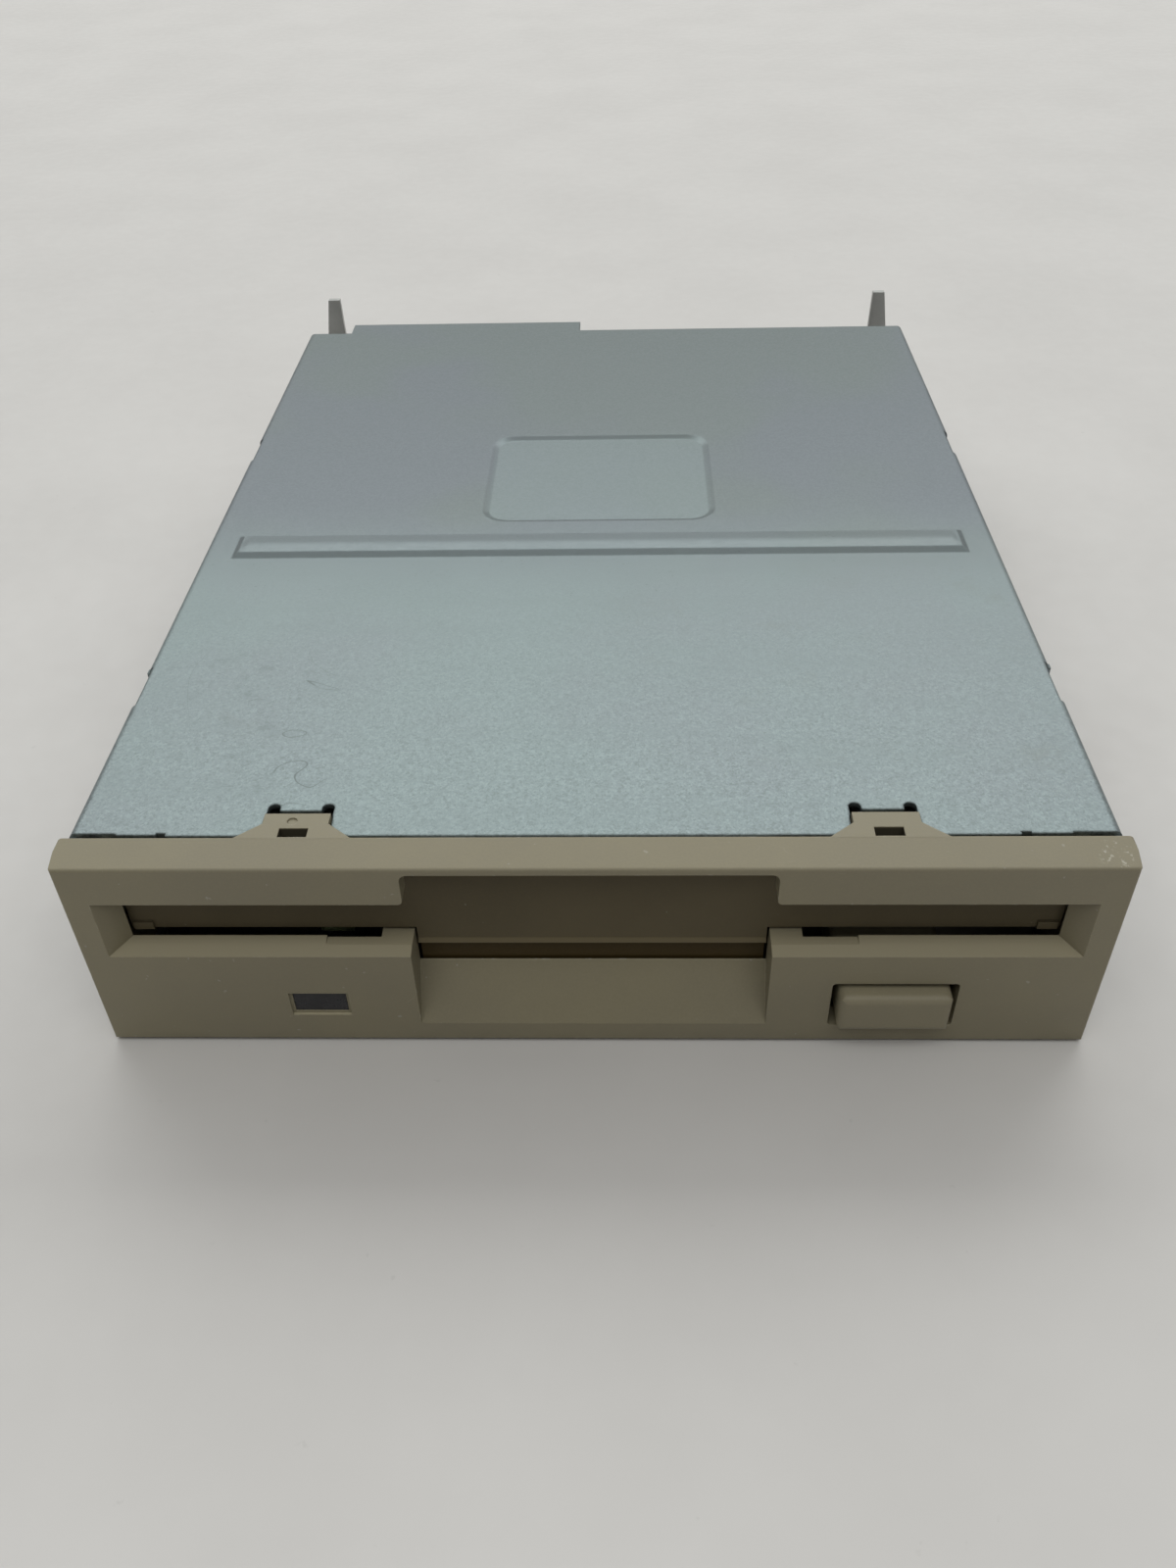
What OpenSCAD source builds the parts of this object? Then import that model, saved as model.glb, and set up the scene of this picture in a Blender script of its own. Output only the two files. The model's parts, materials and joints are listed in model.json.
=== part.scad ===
// Internal 3.5-inch floppy disk drive with a moulded bezel and a sheet steel cover.
// Drawing frame: x to the right, y from the bezel's face into the drive, z up from the foot.
// Rest pose: no disk inside, the eject plate latched to the rear, the disk tray raised.

/* [Overall] */
// Width across the bezel
drive_w = 101.6; // [101:0.1:106]
// Height of the bezel
drive_h = 25.4; // [25.2:0.1:30]
// Depth from the bezel's face to the rear ears
drive_d = 147; // [146.5:0.5:158]

/* [Bezel] */
// Depth of the bezel's rim
bezel_d = 4; // [3.9:0.1:4.6]
// Draft of the bezel's outside from the rim to the face
bezel_draft = 0.4; // [0.1:0.05:0.6]
// Thickness of the front wall
bezel_wall = 2.4; // [1.8:0.1:2.8]
// Thickness of the rim at the sides and the foot
rim_t = 1.4; // [1:0.1:2]
// Thickness of the top edge over the finger notch
brow_t = 1.15; // [0.9:0.05:1.3]
// Radius round the front edges
bezel_edge_r = 0.3; // [0.2:0.1:1]
// Height of the slot's lower lip above the foot
slot_z0 = 13.7; // [13.2:0.1:14]
// Height of the slot
slot_h = 6.7; // [6:0.1:7]
// Sideways spread of the slot's flare
flare_side = 1.9; // [1:0.1:2.5]
// Downward spread of the slot's flare
flare_low = 0.6; // [0.4:0.1:1]
// Depth of the flare
flare_d = 2.3; // [1.2:0.1:2.4]
// Width of the finger notch and of the scoop under it
notch_w = 35.4; // [28:0.2:44]
// Corner radius of the finger notch
notch_r = 0.8; // [0.4:0.1:1.6]
// Height of the scoop's foot
scoop_z0 = 3; // [2.2:0.1:4]
// Height of the scoop's inner edge
scoop_z1 = 8.7; // [7.6:0.1:9.4]
// Depth of the scoop
scoop_d = 3.8; // [3:0.1:3.9]
// Width of each lowered stretch of the lip beside the scoop
ledge_w = 8.6; // [6:0.2:12]
// Depth that the ledge is lowered below the lip
ledge_drop = 0.25; // [0.1:0.05:0.5]

/* [Clip tabs] */
// Distance of each clip tab from the middle
tab_x = 28.25; // [24:0.05:32]
// Width of a clip tab at its tip
tab_w = 6.4; // [5:0.1:8]
// Width of a clip tab at its root
tab_root_w = 11.2; // [9:0.1:12]
// Reach of a clip tab behind the rim
tab_reach = 3.45; // [3:0.05:4]
// Thickness of a clip tab
tab_t = 1.3; // [1:0.1:1.6]

/* [Lamp] */
// Distance of the lamp window left of the middle
lamp_x = 27.8; // [26:0.1:34]
// Height of the lamp window's centre
lamp_z = 5.95; // [5:0.05:6.5]
// Width of the lamp window
lamp_w = 6.1; // [5:0.1:8]
// Height of the lamp window
lamp_h = 3.3; // [3:0.1:4.5]
// Border of the window round the lens
lamp_border = 0.3; // [0.2:0.05:0.6]
// Depth of the window's border
lamp_step = 0.3; // [0.2:0.1:0.9]

/* [Eject button] */
// Distance of the button right of the middle
button_x = 30.3; // [28:0.1:33]
// Height of the button's centre
button_z = 6; // [5.4:0.05:6.4]
// Width of the button
button_w = 11.2; // [9:0.1:13]
// Height of the button
button_h = 4.9; // [4.4:0.05:5.4]
// Distance that the button stands proud of the face
button_proud = 1.5; // [0.8:0.1:2.5]
// Edge radius of the button
button_r = 0.8; // [0.3:0.1:1.4]
// Gap between the button and its hole
button_gap = 0.7; // [0.3:0.05:0.9]

/* [Top cover] */
// Thickness of the cover sheet
cover_t = 0.6; // [0.4:0.1:0.8]
// Step from the bezel's top down to the cover
cover_step = 0.5; // [0.4:0.1:0.6]
// Inset of the cover's sides from the bezel's sides
cover_inset = 0.5; // [0.4:0.05:0.7]
// Gap between the bezel's rim and the cover
cover_gap = 0.85; // [0.6:0.05:1.2]
// Radius of the cover's bends
cover_bend_r = 0.9; // [0.8:0.1:1.4]
// Depth of the side skirts
skirt_h = 9.4; // [7:0.1:12]
// Depth of the drive that the cover leaves open at the rear
rear_open = 15.6; // [15:0.1:20]
// Length of the rear tongue
tail_len = 3.8; // [1:0.1:4.4]
// Distance of the bead from the face
bead_y = 59.35; // [56:0.05:61]
// Width of the bead
bead_w = 5.5; // [4:0.1:7]
// Inset of the bead's ends from the bezel's sides
bead_margin = 4.4; // [4.2:0.1:20]
// Distance of the recessed panel's centre from the face
panel_y = 78.2; // [77:0.1:84]
// Width of the recessed panel
panel_w = 31; // [20:0.1:40]
// Length of the recessed panel
panel_len = 25.4; // [16:0.1:28]
// Corner radius of the recessed panel
panel_r = 3.5; // [2:0.1:6]
// Depth of the recessed panel
panel_sink = 0.35; // [0.2:0.05:0.5]

/* [Chassis] */
// Thickness of the chassis sheet
pan_t = 1; // [0.8:0.1:1.2]
// Height of the chassis floor above the foot
floor_z = 1; // [0.6:0.1:1.2]
// Height of the side walls behind the cover
rear_wall_h = 13; // [11:0.5:15]
// Width of each rear ear at its root
ear_w = 3.3; // [2.8:0.1:3.8]
// Width of each rear ear at its tip
ear_tip_w = 2; // [1.2:0.1:2.4]
// Radius of the tapped mounting holes
mount_r = 1.25; // [1.2:0.05:1.5]
// Height of the side mounting holes
side_hole_z = 5; // [4.6:0.1:6]
// Distance of the front mounting holes from the face
mount_y = 26; // [25.6:0.1:27]
// Distance between the front and the rear mounting holes
mount_pitch = 70; // [60:0.5:71]
// Inset of the bottom mounting holes from the bezel's sides
foot_inset = 5.8; // [5.4:0.1:8]

/* [Disk loading] */
// Gap between the chassis walls and the eject plate's walls
wall_gap = 1.4; // [1.2:0.1:1.8]
// Play between the disk and each side of the tray
disk_play = 0.4; // [0.2:0.05:0.6]
// Play between the disk and each side of the slot
slot_play = 0.85; // [0.6:0.05:1.4]
// Thickness of the disk
disk_t = 3.3; // [3:0.1:3.4]
// Distance that the disk comes down onto the spindle
disk_drop = 3; // [2.4:0.1:3.2]
// Travel of the eject plate
eject_travel = 6; // [5:0.1:6.4]
// Sheet thickness of the disk tray
tray_t = 0.6; // [0.4:0.1:0.7]
// Sheet thickness of the eject plate
plate_t = 0.7; // [0.5:0.1:0.8]
// Thickness of the shutter lever
lever_t = 0.8; // [0.6:0.1:0.9]
// Turn of the shutter lever, degrees
lever_sweep = 35; // [28:1:38]
// Radius of the tray's guide pins
pin_r = 1; // [0.8:0.05:1.2]
// Distance of the tray's front pins from the face
pin_y = 31; // [29:0.5:33]
// Distance between the tray's front and rear pins
pin_pitch = 49; // [44:0.5:52]

/* [Dust door] */
// Thickness of the door
door_t = 1.2; // [0.9:0.1:1.3]
// Lap of the door past each side of the slot
door_lap = 0.2; // [0.1:0.05:0.4]
// Height of the door's lower edge
door_z0 = 14; // [13.8:0.05:14.4]
// Height of the lip on the door's tongue
tongue_z0 = 11.95; // [11.4:0.05:12.4]
// Height of the door's hinge axis
hinge_z = 22.5; // [22:0.1:22.8]
// Radius of the door's hinge pins
hinge_r = 0.7; // [0.5:0.05:0.75]

/* [Spindle] */
// Distance of the spindle from the face
spindle_y = 50; // [49.6:0.1:50.6]
// Radius of the spindle shaft
shaft_r = 2; // [1.5:0.05:2.2]
// Radius of the hub table
hub_r = 11.5; // [9:0.1:12]
// Radius of the rotor cup
rotor_r = 20.5; // [19:0.1:21.5]
// Number of stator poles
pole_count = 9; // [6:3:12]

/* [Heads] */
// Radius of the outermost track
track_r = 39.5; // [39:0.1:40]
// Travel of the head carriage
head_travel = 14.8; // [12:0.1:15]
// Radius of the main guide rod
rod_r = 1.5; // [1.2:0.1:1.7]
// Height of the guide rods
rail_z = 8; // [7.8:0.1:8.1]
// Core radius of the lead screw
screw_r = 1.2; // [1:0.1:1.3]
// Height of the lead screw
screw_z = 9.3; // [9.2:0.1:9.5]
// Pitch of the lead screw
screw_pitch = 3; // [2.4:0.1:3.4]
// Lift of the upper head arm, degrees
arm_lift = 11.5; // [10:0.5:12]
// Radius of the stepper motor
stepper_r = 7; // [6:0.1:7.1]
// Length of the stepper motor
stepper_len = 12; // [9:0.5:13]

/* [Electronics] */
// Thickness of the control board
board_t = 1.6; // [1.2:0.1:1.8]
// Pin pitch of the data connector
pin_pitch_data = 2.54; // [2.5:0.01:2.6]
// Number of pins in each row of the data connector
data_cols = 17; // [10:1:18]
// Pin pitch of the power connector
pin_pitch_power = 2.5; // [2.4:0.05:2.6]

/* [Hidden] */
$fn = 64;
// Small overlap of cutters past the face that they cut
eps = 0.05;
// Clearances: running fit, loose fit, and the gap between sheets that pass each other
run_gap = 0.05;
loose_gap = 0.1;
pass_gap = 0.3;
half_w = drive_w / 2;
mid_y = (drive_d - button_proud) / 2;

// Cover and chassis walls, from outside in
cover_out = half_w - cover_inset;
cover_in = cover_out - cover_t;
cover_y0 = bezel_d + cover_gap;
cover_y1 = drive_d - rear_open;
cover_z1 = drive_h - cover_step;
cover_z0 = cover_z1 - cover_t;
bead_h = cover_step;
bead_slope = 0.8;
bead_len = drive_w - 2 * bead_margin;
pan_out = cover_in - loose_gap;
pan_in = pan_out - pan_t;
pan_y0 = bezel_d;
pan_z1 = cover_z0;
floor_z1 = floor_z + pan_t;
pan_bend_r = 1.8;
wall_chamfer = cover_bend_r - cover_t;
foot_span = drive_w - 2 * foot_inset;
skirt_gaps = [[25.8, 32.9], [84.2, 91]];
skirt_z0 = cover_z1 - skirt_h;
// Nib at the front end of each middle skirt
nib = [0.3, 0.8, 1.6];
nib_y = skirt_gaps[0][1];
dimple_ys = [15.5, 58.5, 112];
dimple_r = 1.4;
dimple_z = cover_z1 - skirt_h / 2;
collar_r = mount_r + 1;
collar_len = 1.2;
pad_r = mount_r + 1.75;
groove_d = 0.35;
ear_step = 0.05;
ear_out = half_w - 0.1;
ear_z = 18;

// Disk tray and eject plate, from the chassis walls inwards to the disk
plate_out = pan_in - wall_gap;
plate_in = plate_out - plate_t;
tray_out = plate_in - 0.5;
tray_in = tray_out - tray_t;
disk_w = 2 * (tray_in - disk_play);

// Slot, door and button
slot_w = disk_w + 2 * slot_play;
door_w = slot_w + 2 * door_lap;
slot_z1 = slot_z0 + slot_h;
bezel_corner_r = 0.6;
scoop_slope = (scoop_z1 - scoop_z0) / scoop_d;
cheek_t = 3.2;
tab_mark_r = 0.5;
tab_shoulder = 2;
tab_window = [2.8, 0.1, 1.35];
tongue_gap = 1;
clip_gap = 0.15;
relief_x = 2.66;
relief_r = 0.62;
relief_len = 1.38;
door_gap = 0.8;
door_y0 = bezel_wall + door_gap;
door_y1 = door_y0 + door_t;
knuckle_r = 0.9;
notch_lip_r = 0.5;
hinge_y = door_y0 + knuckle_r;
tongue_w = notch_w - 0.5;
tongue_lip = 0.25;
// Seal: thin skirt of the tongue that hangs down behind the scoop's inner edge
seal_t = 0.5;
seal_y0 = scoop_d + pass_gap;
seal_z0 = scoop_z1 - 0.5;
door_reach = hinge_y + hinge_z - seal_z0 + 0.9;
door_pad = [2, 0.3, 0.95];
lug_t = 1.2;
lug_r = 1.3;
lug_x = door_w / 2 + 0.2;
clip_t = 0.8;
clip_x1 = pan_in - pass_gap;
clip_x0 = clip_x1 - clip_t;
clip_z = [6, 12];
clip_y1 = 13;
catch_len = 2.2;
lens_gap = 0.05;
lens_sink = 0.05;
lens_w = lamp_w - 2 * lamp_border;
lens_h = lamp_h - 2 * lamp_border;
button_skin = 1.2;

// Disk tray, shutter lever and eject plate, stacked from the slot's lip upwards
lip_step = 1;
tray_floor = slot_z0 + lip_step;
tray_top = tray_floor + disk_t + 0.95;
tray_z1 = tray_top + tray_t;
tray_y0 = 17;
lip_w = 3.9;
lever_z0 = tray_z1 + pass_gap;
lever_z1 = lever_z0 + lever_t;
plate_z0 = lever_z1 + pass_gap;
plate_z1 = plate_z0 + plate_t;
plate_y0 = tray_y0 + eject_travel + 0.6;
pin_z = (tray_floor + tray_top) / 2;
pin_ys = [pin_y, pin_y + pin_pitch];
pin_gap = 0.1;
plate_z_low = pin_z - disk_drop - pin_r - 1.2;
stud_ys = [46, 66];
stud_r = 1.2;
arm_y = bezel_d + eject_travel + 1.3;
arm_z = [button_z - 2.2, button_z + 2.2];
spring_x = pan_in - 7.6;
spring_wire_r = 0.2;
spring_r = 0.75;
spring_z = plate_z1 + spring_r + spring_wire_r + 0.2;
anchor_y = [17.2, 18.2];
hook_y = 44;
hook_r = 0.7;
head_window = 22;
sheet_window = 13;

// Spindle motor, stacked from the floor upwards
motor_board_t = 1.2;
motor_z0 = floor_z1 + motor_board_t;
disk_z0 = tray_floor - disk_drop;
hub_z1 = disk_z0 + 0.5;
bearing_flange_t = 0.8;
stator_z0 = motor_z0 + 1.6;
stator_t = 2;
bearing_r = 4;
rotor_z0 = motor_z0 + 0.9;
rotor_z1 = rotor_z0 + 5.3;
rotor_t = 0.8;
magnet_t = 2;
magnet_r = rotor_r - rotor_t - magnet_t;
stator_r = magnet_r - 0.5;
drive_pin_r = 1.1;
motor_board_x = 31;
motor_board_y = [27, 77];
motor_screws_at = [[-27, 31], [27, 31], [-26, 67], [26, 67]];
motor_screw_r = 1.2;
coil_r0 = bearing_r + 4.4;

// Heads, carriage and lead screw
media_z = disk_z0 + disk_t / 2;
head_gap = 0.15;
head_y = spindle_y + track_r;
head_size = [5, 6, 1.4];
arm_pivot = [0, head_y + 26, media_z + 2.2];
arm_pin_r = 0.8;
tongue_t = 1.4;
carriage_y0 = head_y + 6.5;
carriage_y1 = head_y + 22.5;
carriage_x = [-14.4, 7.6];
carriage_z = [rail_z - 2, disk_z0 - 0.3];
main_rod_x = -11;
bush_t = 0.9;
side_rod_x = 17.5;
side_rod_r = rod_r - 0.25;
screw_x = 11;
rail_y0 = carriage_y0 - head_travel - 3.8;
rail_y1 = carriage_y1 + 8;
clamp_t = 3;
frame_t = 1.2;
stepper_y0 = rail_y1 + 1.6;
stepper_boss_r = 2.2;
bracket_y0 = carriage_y0 + 4 - head_travel - 3.5;
bracket_screw_r = 0.95;
bracket_screws_at = [[screw_x, bracket_y0 + 3.8], [screw_x, stepper_y0 - 9]];
thread_wire_r = 0.2;
thread_end = 1;
thread_y0 = bracket_y0 + frame_t + thread_end;
needle_y = thread_y0 + (floor((carriage_y0 + 4 - thread_y0) / screw_pitch) + 0.5) * screw_pitch;
needle_r = 0.5;
fork_y = [carriage_y0 + 7, carriage_y0 + 12];
arm_half = 5;
arm_coil_x = 1;
arm_post_t = 2.2;
arm_post_x = arm_half + 0.2 + arm_post_t / 2;
flag_y = [carriage_y0 + 13, carriage_y0 + 16];
flag_x = -21;

// Shutter lever: pivot behind the tray on the right, finger in the disk's path
lever_pivot = [pan_in - 8, head_y + 20];
lever_r = 32.6;
lever_rest = 235.2;
finger_r = 1.5;
lever_post_r = 1.5;
nose_y = 10.8;
nose_x = 3.6;
nose_bite = 0.45;
nose_gap = 0.6;

// Boards, switches and connectors
switch_board_y = [14.6, 24.4];
switch_board_t = 1.2;
switch_z0 = floor_z1 + switch_board_t;
switch_y = 18.6;
protect_x = 8.8 - pan_in;
density_x = pan_in - 8.8;
disk_x = density_x - 5.8;
led_r = 1.45;
switch_size = [5.2, 5.6, 5.6];
switch_z1 = switch_z0 + switch_size[2];
plunger_r = 0.9;
plunger_top = disk_z0 + 0.7;
plunger_travel = 1;
standoff_h = 1.4;
standoff_r = 2.5;
board_z0 = floor_z1 + standoff_h;
board_z1 = board_z0 + board_t;
board_y0 = 98.5;
board_y1 = drive_d - 1.6;
strip_y0 = board_y1 - 10.4;
board_x0 = -pan_in + 1;
board_x1 = pan_in - 6;
board_in_x = -16;
board_screws_at = [
    [board_x0 + 4.5, 103], [-21, 103.5], [board_x0 + 4.5, strip_y0 + 3.5], [-12, strip_y0 + 3.5]];
board_screw_r = 1;
data_x = pan_in - 31;
data_pin = 0.64;
header_d = 2.5;
header_y = board_y1 - 5.6;
power_x = 20 - pan_in;
power_cols = 4;
power_pin = 0.9;
power_y0 = board_y1 - 8.6;
power_z = board_z1 + 3.2;

// Moves the drawing frame so that the origin is under the middle of the drive
module in_frame() {
    translate([0, -mid_y, 0]) children();
}

// Box between two limits on each axis
module block(x, y, z) {
    translate([x[0], y[0], z[0]]) cube([x[1] - x[0], y[1] - y[0], z[1] - z[0]]);
}

// Children and their mirror image across the middle plane
module both_sides() {
    children();
    mirror([1, 0, 0]) children();
}

// Outline in x and z, drawn out along y
module along_y(y) {
    translate([0, y[1], 0]) rotate([90, 0, 0]) linear_extrude(y[1] - y[0]) children();
}

// Outline in y and z, drawn out along x
module along_x(x) {
    translate([x[0], 0, 0]) rotate([90, 0, 90]) linear_extrude(x[1] - x[0]) children();
}

// Outline in x and y, drawn up along z
module along_z(z) {
    translate([0, 0, z[0]]) linear_extrude(z[1] - z[0]) children();
}

module rod_x(r, x, y, z) {
    translate([x[0], y, z]) rotate([0, 90, 0]) cylinder(r = r, h = x[1] - x[0]);
}

module rod_y(r, x, y, z) {
    translate([x, y[0], z]) rotate([-90, 0, 0]) cylinder(r = r, h = y[1] - y[0]);
}

module rod_z(r, at, z) {
    translate([at[0], at[1], z[0]]) cylinder(r = r, h = z[1] - z[0]);
}

// Rectangle between two limits, with all corners round
module round_rect(x, y, r) {
    translate([x[0] + r, y[0]]) square([x[1] - x[0] - 2 * r, y[1] - y[0]]);
    translate([x[0], y[0] + r]) square([x[1] - x[0], y[1] - y[0] - 2 * r]);
    for (cx = [x[0] + r, x[1] - r], cy = [y[0] + r, y[1] - r]) translate([cx, cy]) circle(r);
}

// Straight slot with round ends between two points
module slot_outline(a, b, r) {
    reach = b - a;
    translate(a) circle(r);
    translate(b) circle(r);
    translate(a) rotate(atan2(reach[1], reach[0])) translate([0, -r]) square([norm(reach), 2 * r]);
}

// Channel outline open at the foot or the top, with round bends: half width, height limits, wall
module channel(half, z, t, r) {
    difference() {
        round_rect([-half, half], [z[0], z[1] + r], r);
        round_rect([-half + t, half - t], [z[0] + t, z[1] + 2 * r], max(r - t, 0.1));
        translate([-half - 1, z[1]]) square([2 * half + 2, r + 1]);
    }
}

// Ring of points round a tube's centre line point, square to the line's direction
function frame_side(d) = let (up = abs(d[2]) < 0.9 ? [0, 0, 1] : [1, 0, 0]) cross(d, up) / norm(cross(d, up));
function line_dir(p, i) = let (d = p[min(i + 1, len(p) - 1)] - p[max(i - 1, 0)]) d / norm(d);
function tube_ring(p, i, r, n) = let (d = line_dir(p, i), s = frame_side(d), u = cross(s, d))
    [for (k = [0 : n - 1]) p[i] + r * cos(360 * k / n) * s + r * sin(360 * k / n) * u];

// Tube of n sides that follows the points of p, with flat ends
module tube_along(p, r, n = 6) {
    last = len(p) - 1;
    points = [for (i = [0 : last]) each tube_ring(p, i, r, n)];
    sides = [for (i = [0 : last - 1], k = [0 : n - 1]) let (a = i * n + k, b = i * n + (k + 1) % n)
        each [[a, b, b + n], [a, b + n, a + n]]];
    ends = [for (k = [1 : n - 2]) each [[0, k + 1, k], [last * n, last * n + k, last * n + k + 1]]];
    polyhedron(points = points, faces = concat(sides, ends));
}

// Helix along x from the origin: mean radius, turns, length, and a straight lead at each end
function helix(r, turns, length, lead) = concat(
    [[-lead, r, 0]],
    [for (i = [0 : turns * 8]) [length * i / (turns * 8), r * cos(45 * i), r * sin(45 * i)]],
    [[length + lead, r, 0]]);

// Least gap between the turns of a helix of wire radius wire
function helix_gap(turns, length, wire) = length / turns - 2 * wire;

// Bezel

// Outline of a drafted bezel section: width w at the rim, narrower at the face, rounded face edges
module drafted(w) {
    r = bezel_edge_r;
    slope = atan(bezel_draft / bezel_d);
    edge = w / 2 - bezel_draft + r * tan(slope) - r / cos(slope);
    flank = [edge + r * cos(slope), r - r * sin(slope)];
    polygon([
        [-edge, 0], [edge, 0], flank, [w / 2, bezel_d], [-w / 2, bezel_d], [-flank[0], flank[1]]]);
    for (s = [-1, 1]) translate([s * edge, r]) circle(r);
}

module bezel_block() {
    intersection() {
        along_z([0, drive_h]) drafted(drive_w);
        along_x([-half_w, half_w]) translate([0, drive_h / 2]) rotate(-90) drafted(drive_h);
        along_y([0, bezel_d]) round_rect([-half_w, half_w], [0, drive_h], bezel_corner_r);
    }
}

module slot_flare() {
    intersection() {
        along_z([slot_z0 - flare_low - 1, slot_z1]) polygon([
            [-slot_w / 2 - flare_side * (1 + eps / flare_d), -eps],
            [slot_w / 2 + flare_side * (1 + eps / flare_d), -eps],
            [slot_w / 2, flare_d], [-slot_w / 2, flare_d]]);
        along_x([-half_w, half_w]) polygon([
            [-eps, slot_z0 - flare_low * (1 + eps / flare_d)], [flare_d, slot_z0],
            [flare_d, slot_z1], [-eps, slot_z1]]);
    }
}

// Finger notch above the slot: round top corners, and rounded corners where it meets the slot
module notch_outline() {
    half = notch_w / 2;
    r = notch_lip_r;
    round_rect([-half, half], [slot_z1 - 2 * notch_r, drive_h - brow_t], notch_r);
    translate([-half, slot_z0]) square([notch_w, slot_h]);
    for (s = [-1, 1]) difference() {
        translate([s > 0 ? half : -half - r, slot_z1 - eps]) square([r, r + eps]);
        translate([s * (half + r), slot_z1 + r]) circle(r);
    }
}

module finger_cuts() {
    along_y([-eps, bezel_wall + eps]) notch_outline();
    along_x([-notch_w / 2, notch_w / 2]) polygon([
        [-eps, scoop_z0 - eps * scoop_slope], [bezel_d + eps, scoop_z0 + (bezel_d + eps) * scoop_slope],
        [bezel_d + eps, slot_z1], [-eps, slot_z1]]);
}

// Sloping plate behind the scoop, with a cheek at each end
module scoop_back() {
    along_x([-notch_w / 2 - cheek_t, notch_w / 2 + cheek_t]) polygon([
        [bezel_wall - eps, rim_t], [bezel_wall, rim_t], [scoop_d, scoop_z1 - 2],
        [scoop_d, scoop_z1], [bezel_wall - eps, scoop_z0 + bezel_wall * scoop_slope]]);
    both_sides() block([notch_w / 2, notch_w / 2 + cheek_t], [bezel_wall - eps, scoop_d],
        [rim_t, slot_z0 - ledge_drop]);
}

module clip_tab_outline(grow) {
    root = tab_root_w / 2 + grow;
    side = tab_w / 2 + grow;
    shoulder = bezel_d + tab_shoulder + grow / 2;
    tip = bezel_d + tab_reach + grow;
    polygon([
        [-root, bezel_d - 2 * eps], [root, bezel_d - 2 * eps], [root, bezel_d], [side, shoulder],
        [side, tip], [-side, tip], [-side, shoulder], [-root, bezel_d]]);
}

module clip_tab() {
    difference() {
        along_z([drive_h - tab_t, drive_h]) clip_tab_outline(0);
        block([-tab_window[0] / 2, tab_window[0] / 2], [bezel_d + tab_window[1], bezel_d + tab_window[2]],
            [drive_h - tab_t - eps, drive_h + eps]);
    }
}

// Bearing lug for the dust door's pin
module door_lug() {
    difference() {
        union() {
            block([lug_x, lug_x + lug_t], [bezel_wall - eps, hinge_y + lug_r],
                [hinge_z - lug_r, hinge_z + lug_r]);
            block([lug_x, lug_x + lug_t], [bezel_wall - eps, bezel_d], [hinge_z, drive_h - brow_t + eps]);
        }
        rod_x(hinge_r + run_gap, [lug_x - eps, lug_x + lug_t + eps], hinge_y, hinge_z);
    }
}

// Side arm whose catch snaps into a window of the chassis wall
module side_clip() {
    block([clip_x0, clip_x1], [bezel_wall - eps, clip_y1], clip_z);
    along_z([clip_z[0] + 1, clip_z[1] - 1]) polygon([
        [clip_x1 - eps, clip_y1 - catch_len], [pan_in + pan_t * 0.6, clip_y1 - catch_len],
        [clip_x1 - eps, clip_y1]]);
}

module lamp_window() {
    x = [-lamp_x - lamp_w / 2, -lamp_x + lamp_w / 2];
    z = [lamp_z - lamp_h / 2, lamp_z + lamp_h / 2];
    b = lamp_border;
    block(x, [-eps, lamp_step], z);
    block([x[0] + b, x[1] - b], [0, bezel_wall + eps], [z[0] + b, z[1] - b]);
}

module button_hole() {
    w = button_w / 2 + button_gap;
    h = button_h / 2 + button_gap;
    along_y([-eps, bezel_wall + eps])
        round_rect([button_x - w, button_x + w], [button_z - h, button_z + h], 0.4);
}

module front_bezel() {
    color("#8c8470") union() {
        difference() {
            union() {
                difference() {
                    bezel_block();
                    block([-half_w + rim_t, half_w - rim_t], [bezel_wall, bezel_d + eps],
                        [rim_t, drive_h - brow_t]);
                }
                scoop_back();
            }
            block([-slot_w / 2, slot_w / 2], [-eps, bezel_wall + eps], [slot_z0, slot_z1]);
            slot_flare();
            finger_cuts();
            both_sides() block([notch_w / 2 - eps, notch_w / 2 + ledge_w], [0, scoop_d + eps],
                [slot_z0 - ledge_drop, slot_z0 + eps]);
            lamp_window();
            button_hole();
        }
        difference() {
            for (s = [-1, 1]) translate([s * tab_x, 0, 0]) clip_tab();
            rod_z(tab_mark_r, [-tab_x - 0.35, bezel_d + tab_reach - 1.1], [drive_h - 0.15, drive_h + eps]);
        }
        both_sides() door_lug();
        both_sides() side_clip();
    }
}

// Smoked light pipe, held by a flange behind the front wall
module led_lens() {
    w = lens_w / 2 - lens_gap;
    h = lens_h / 2 - lens_gap;
    color("#26262a") union() {
        block([-lamp_x - w, -lamp_x + w], [lamp_step + lens_sink, 9], [lamp_z - h, lamp_z + h]);
        block([-lamp_x - w - 0.6, -lamp_x + w + 0.6], [bezel_wall, bezel_wall + 0.8],
            [lamp_z - h - 0.5, lamp_z + h + 0.5]);
    }
}

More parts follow.
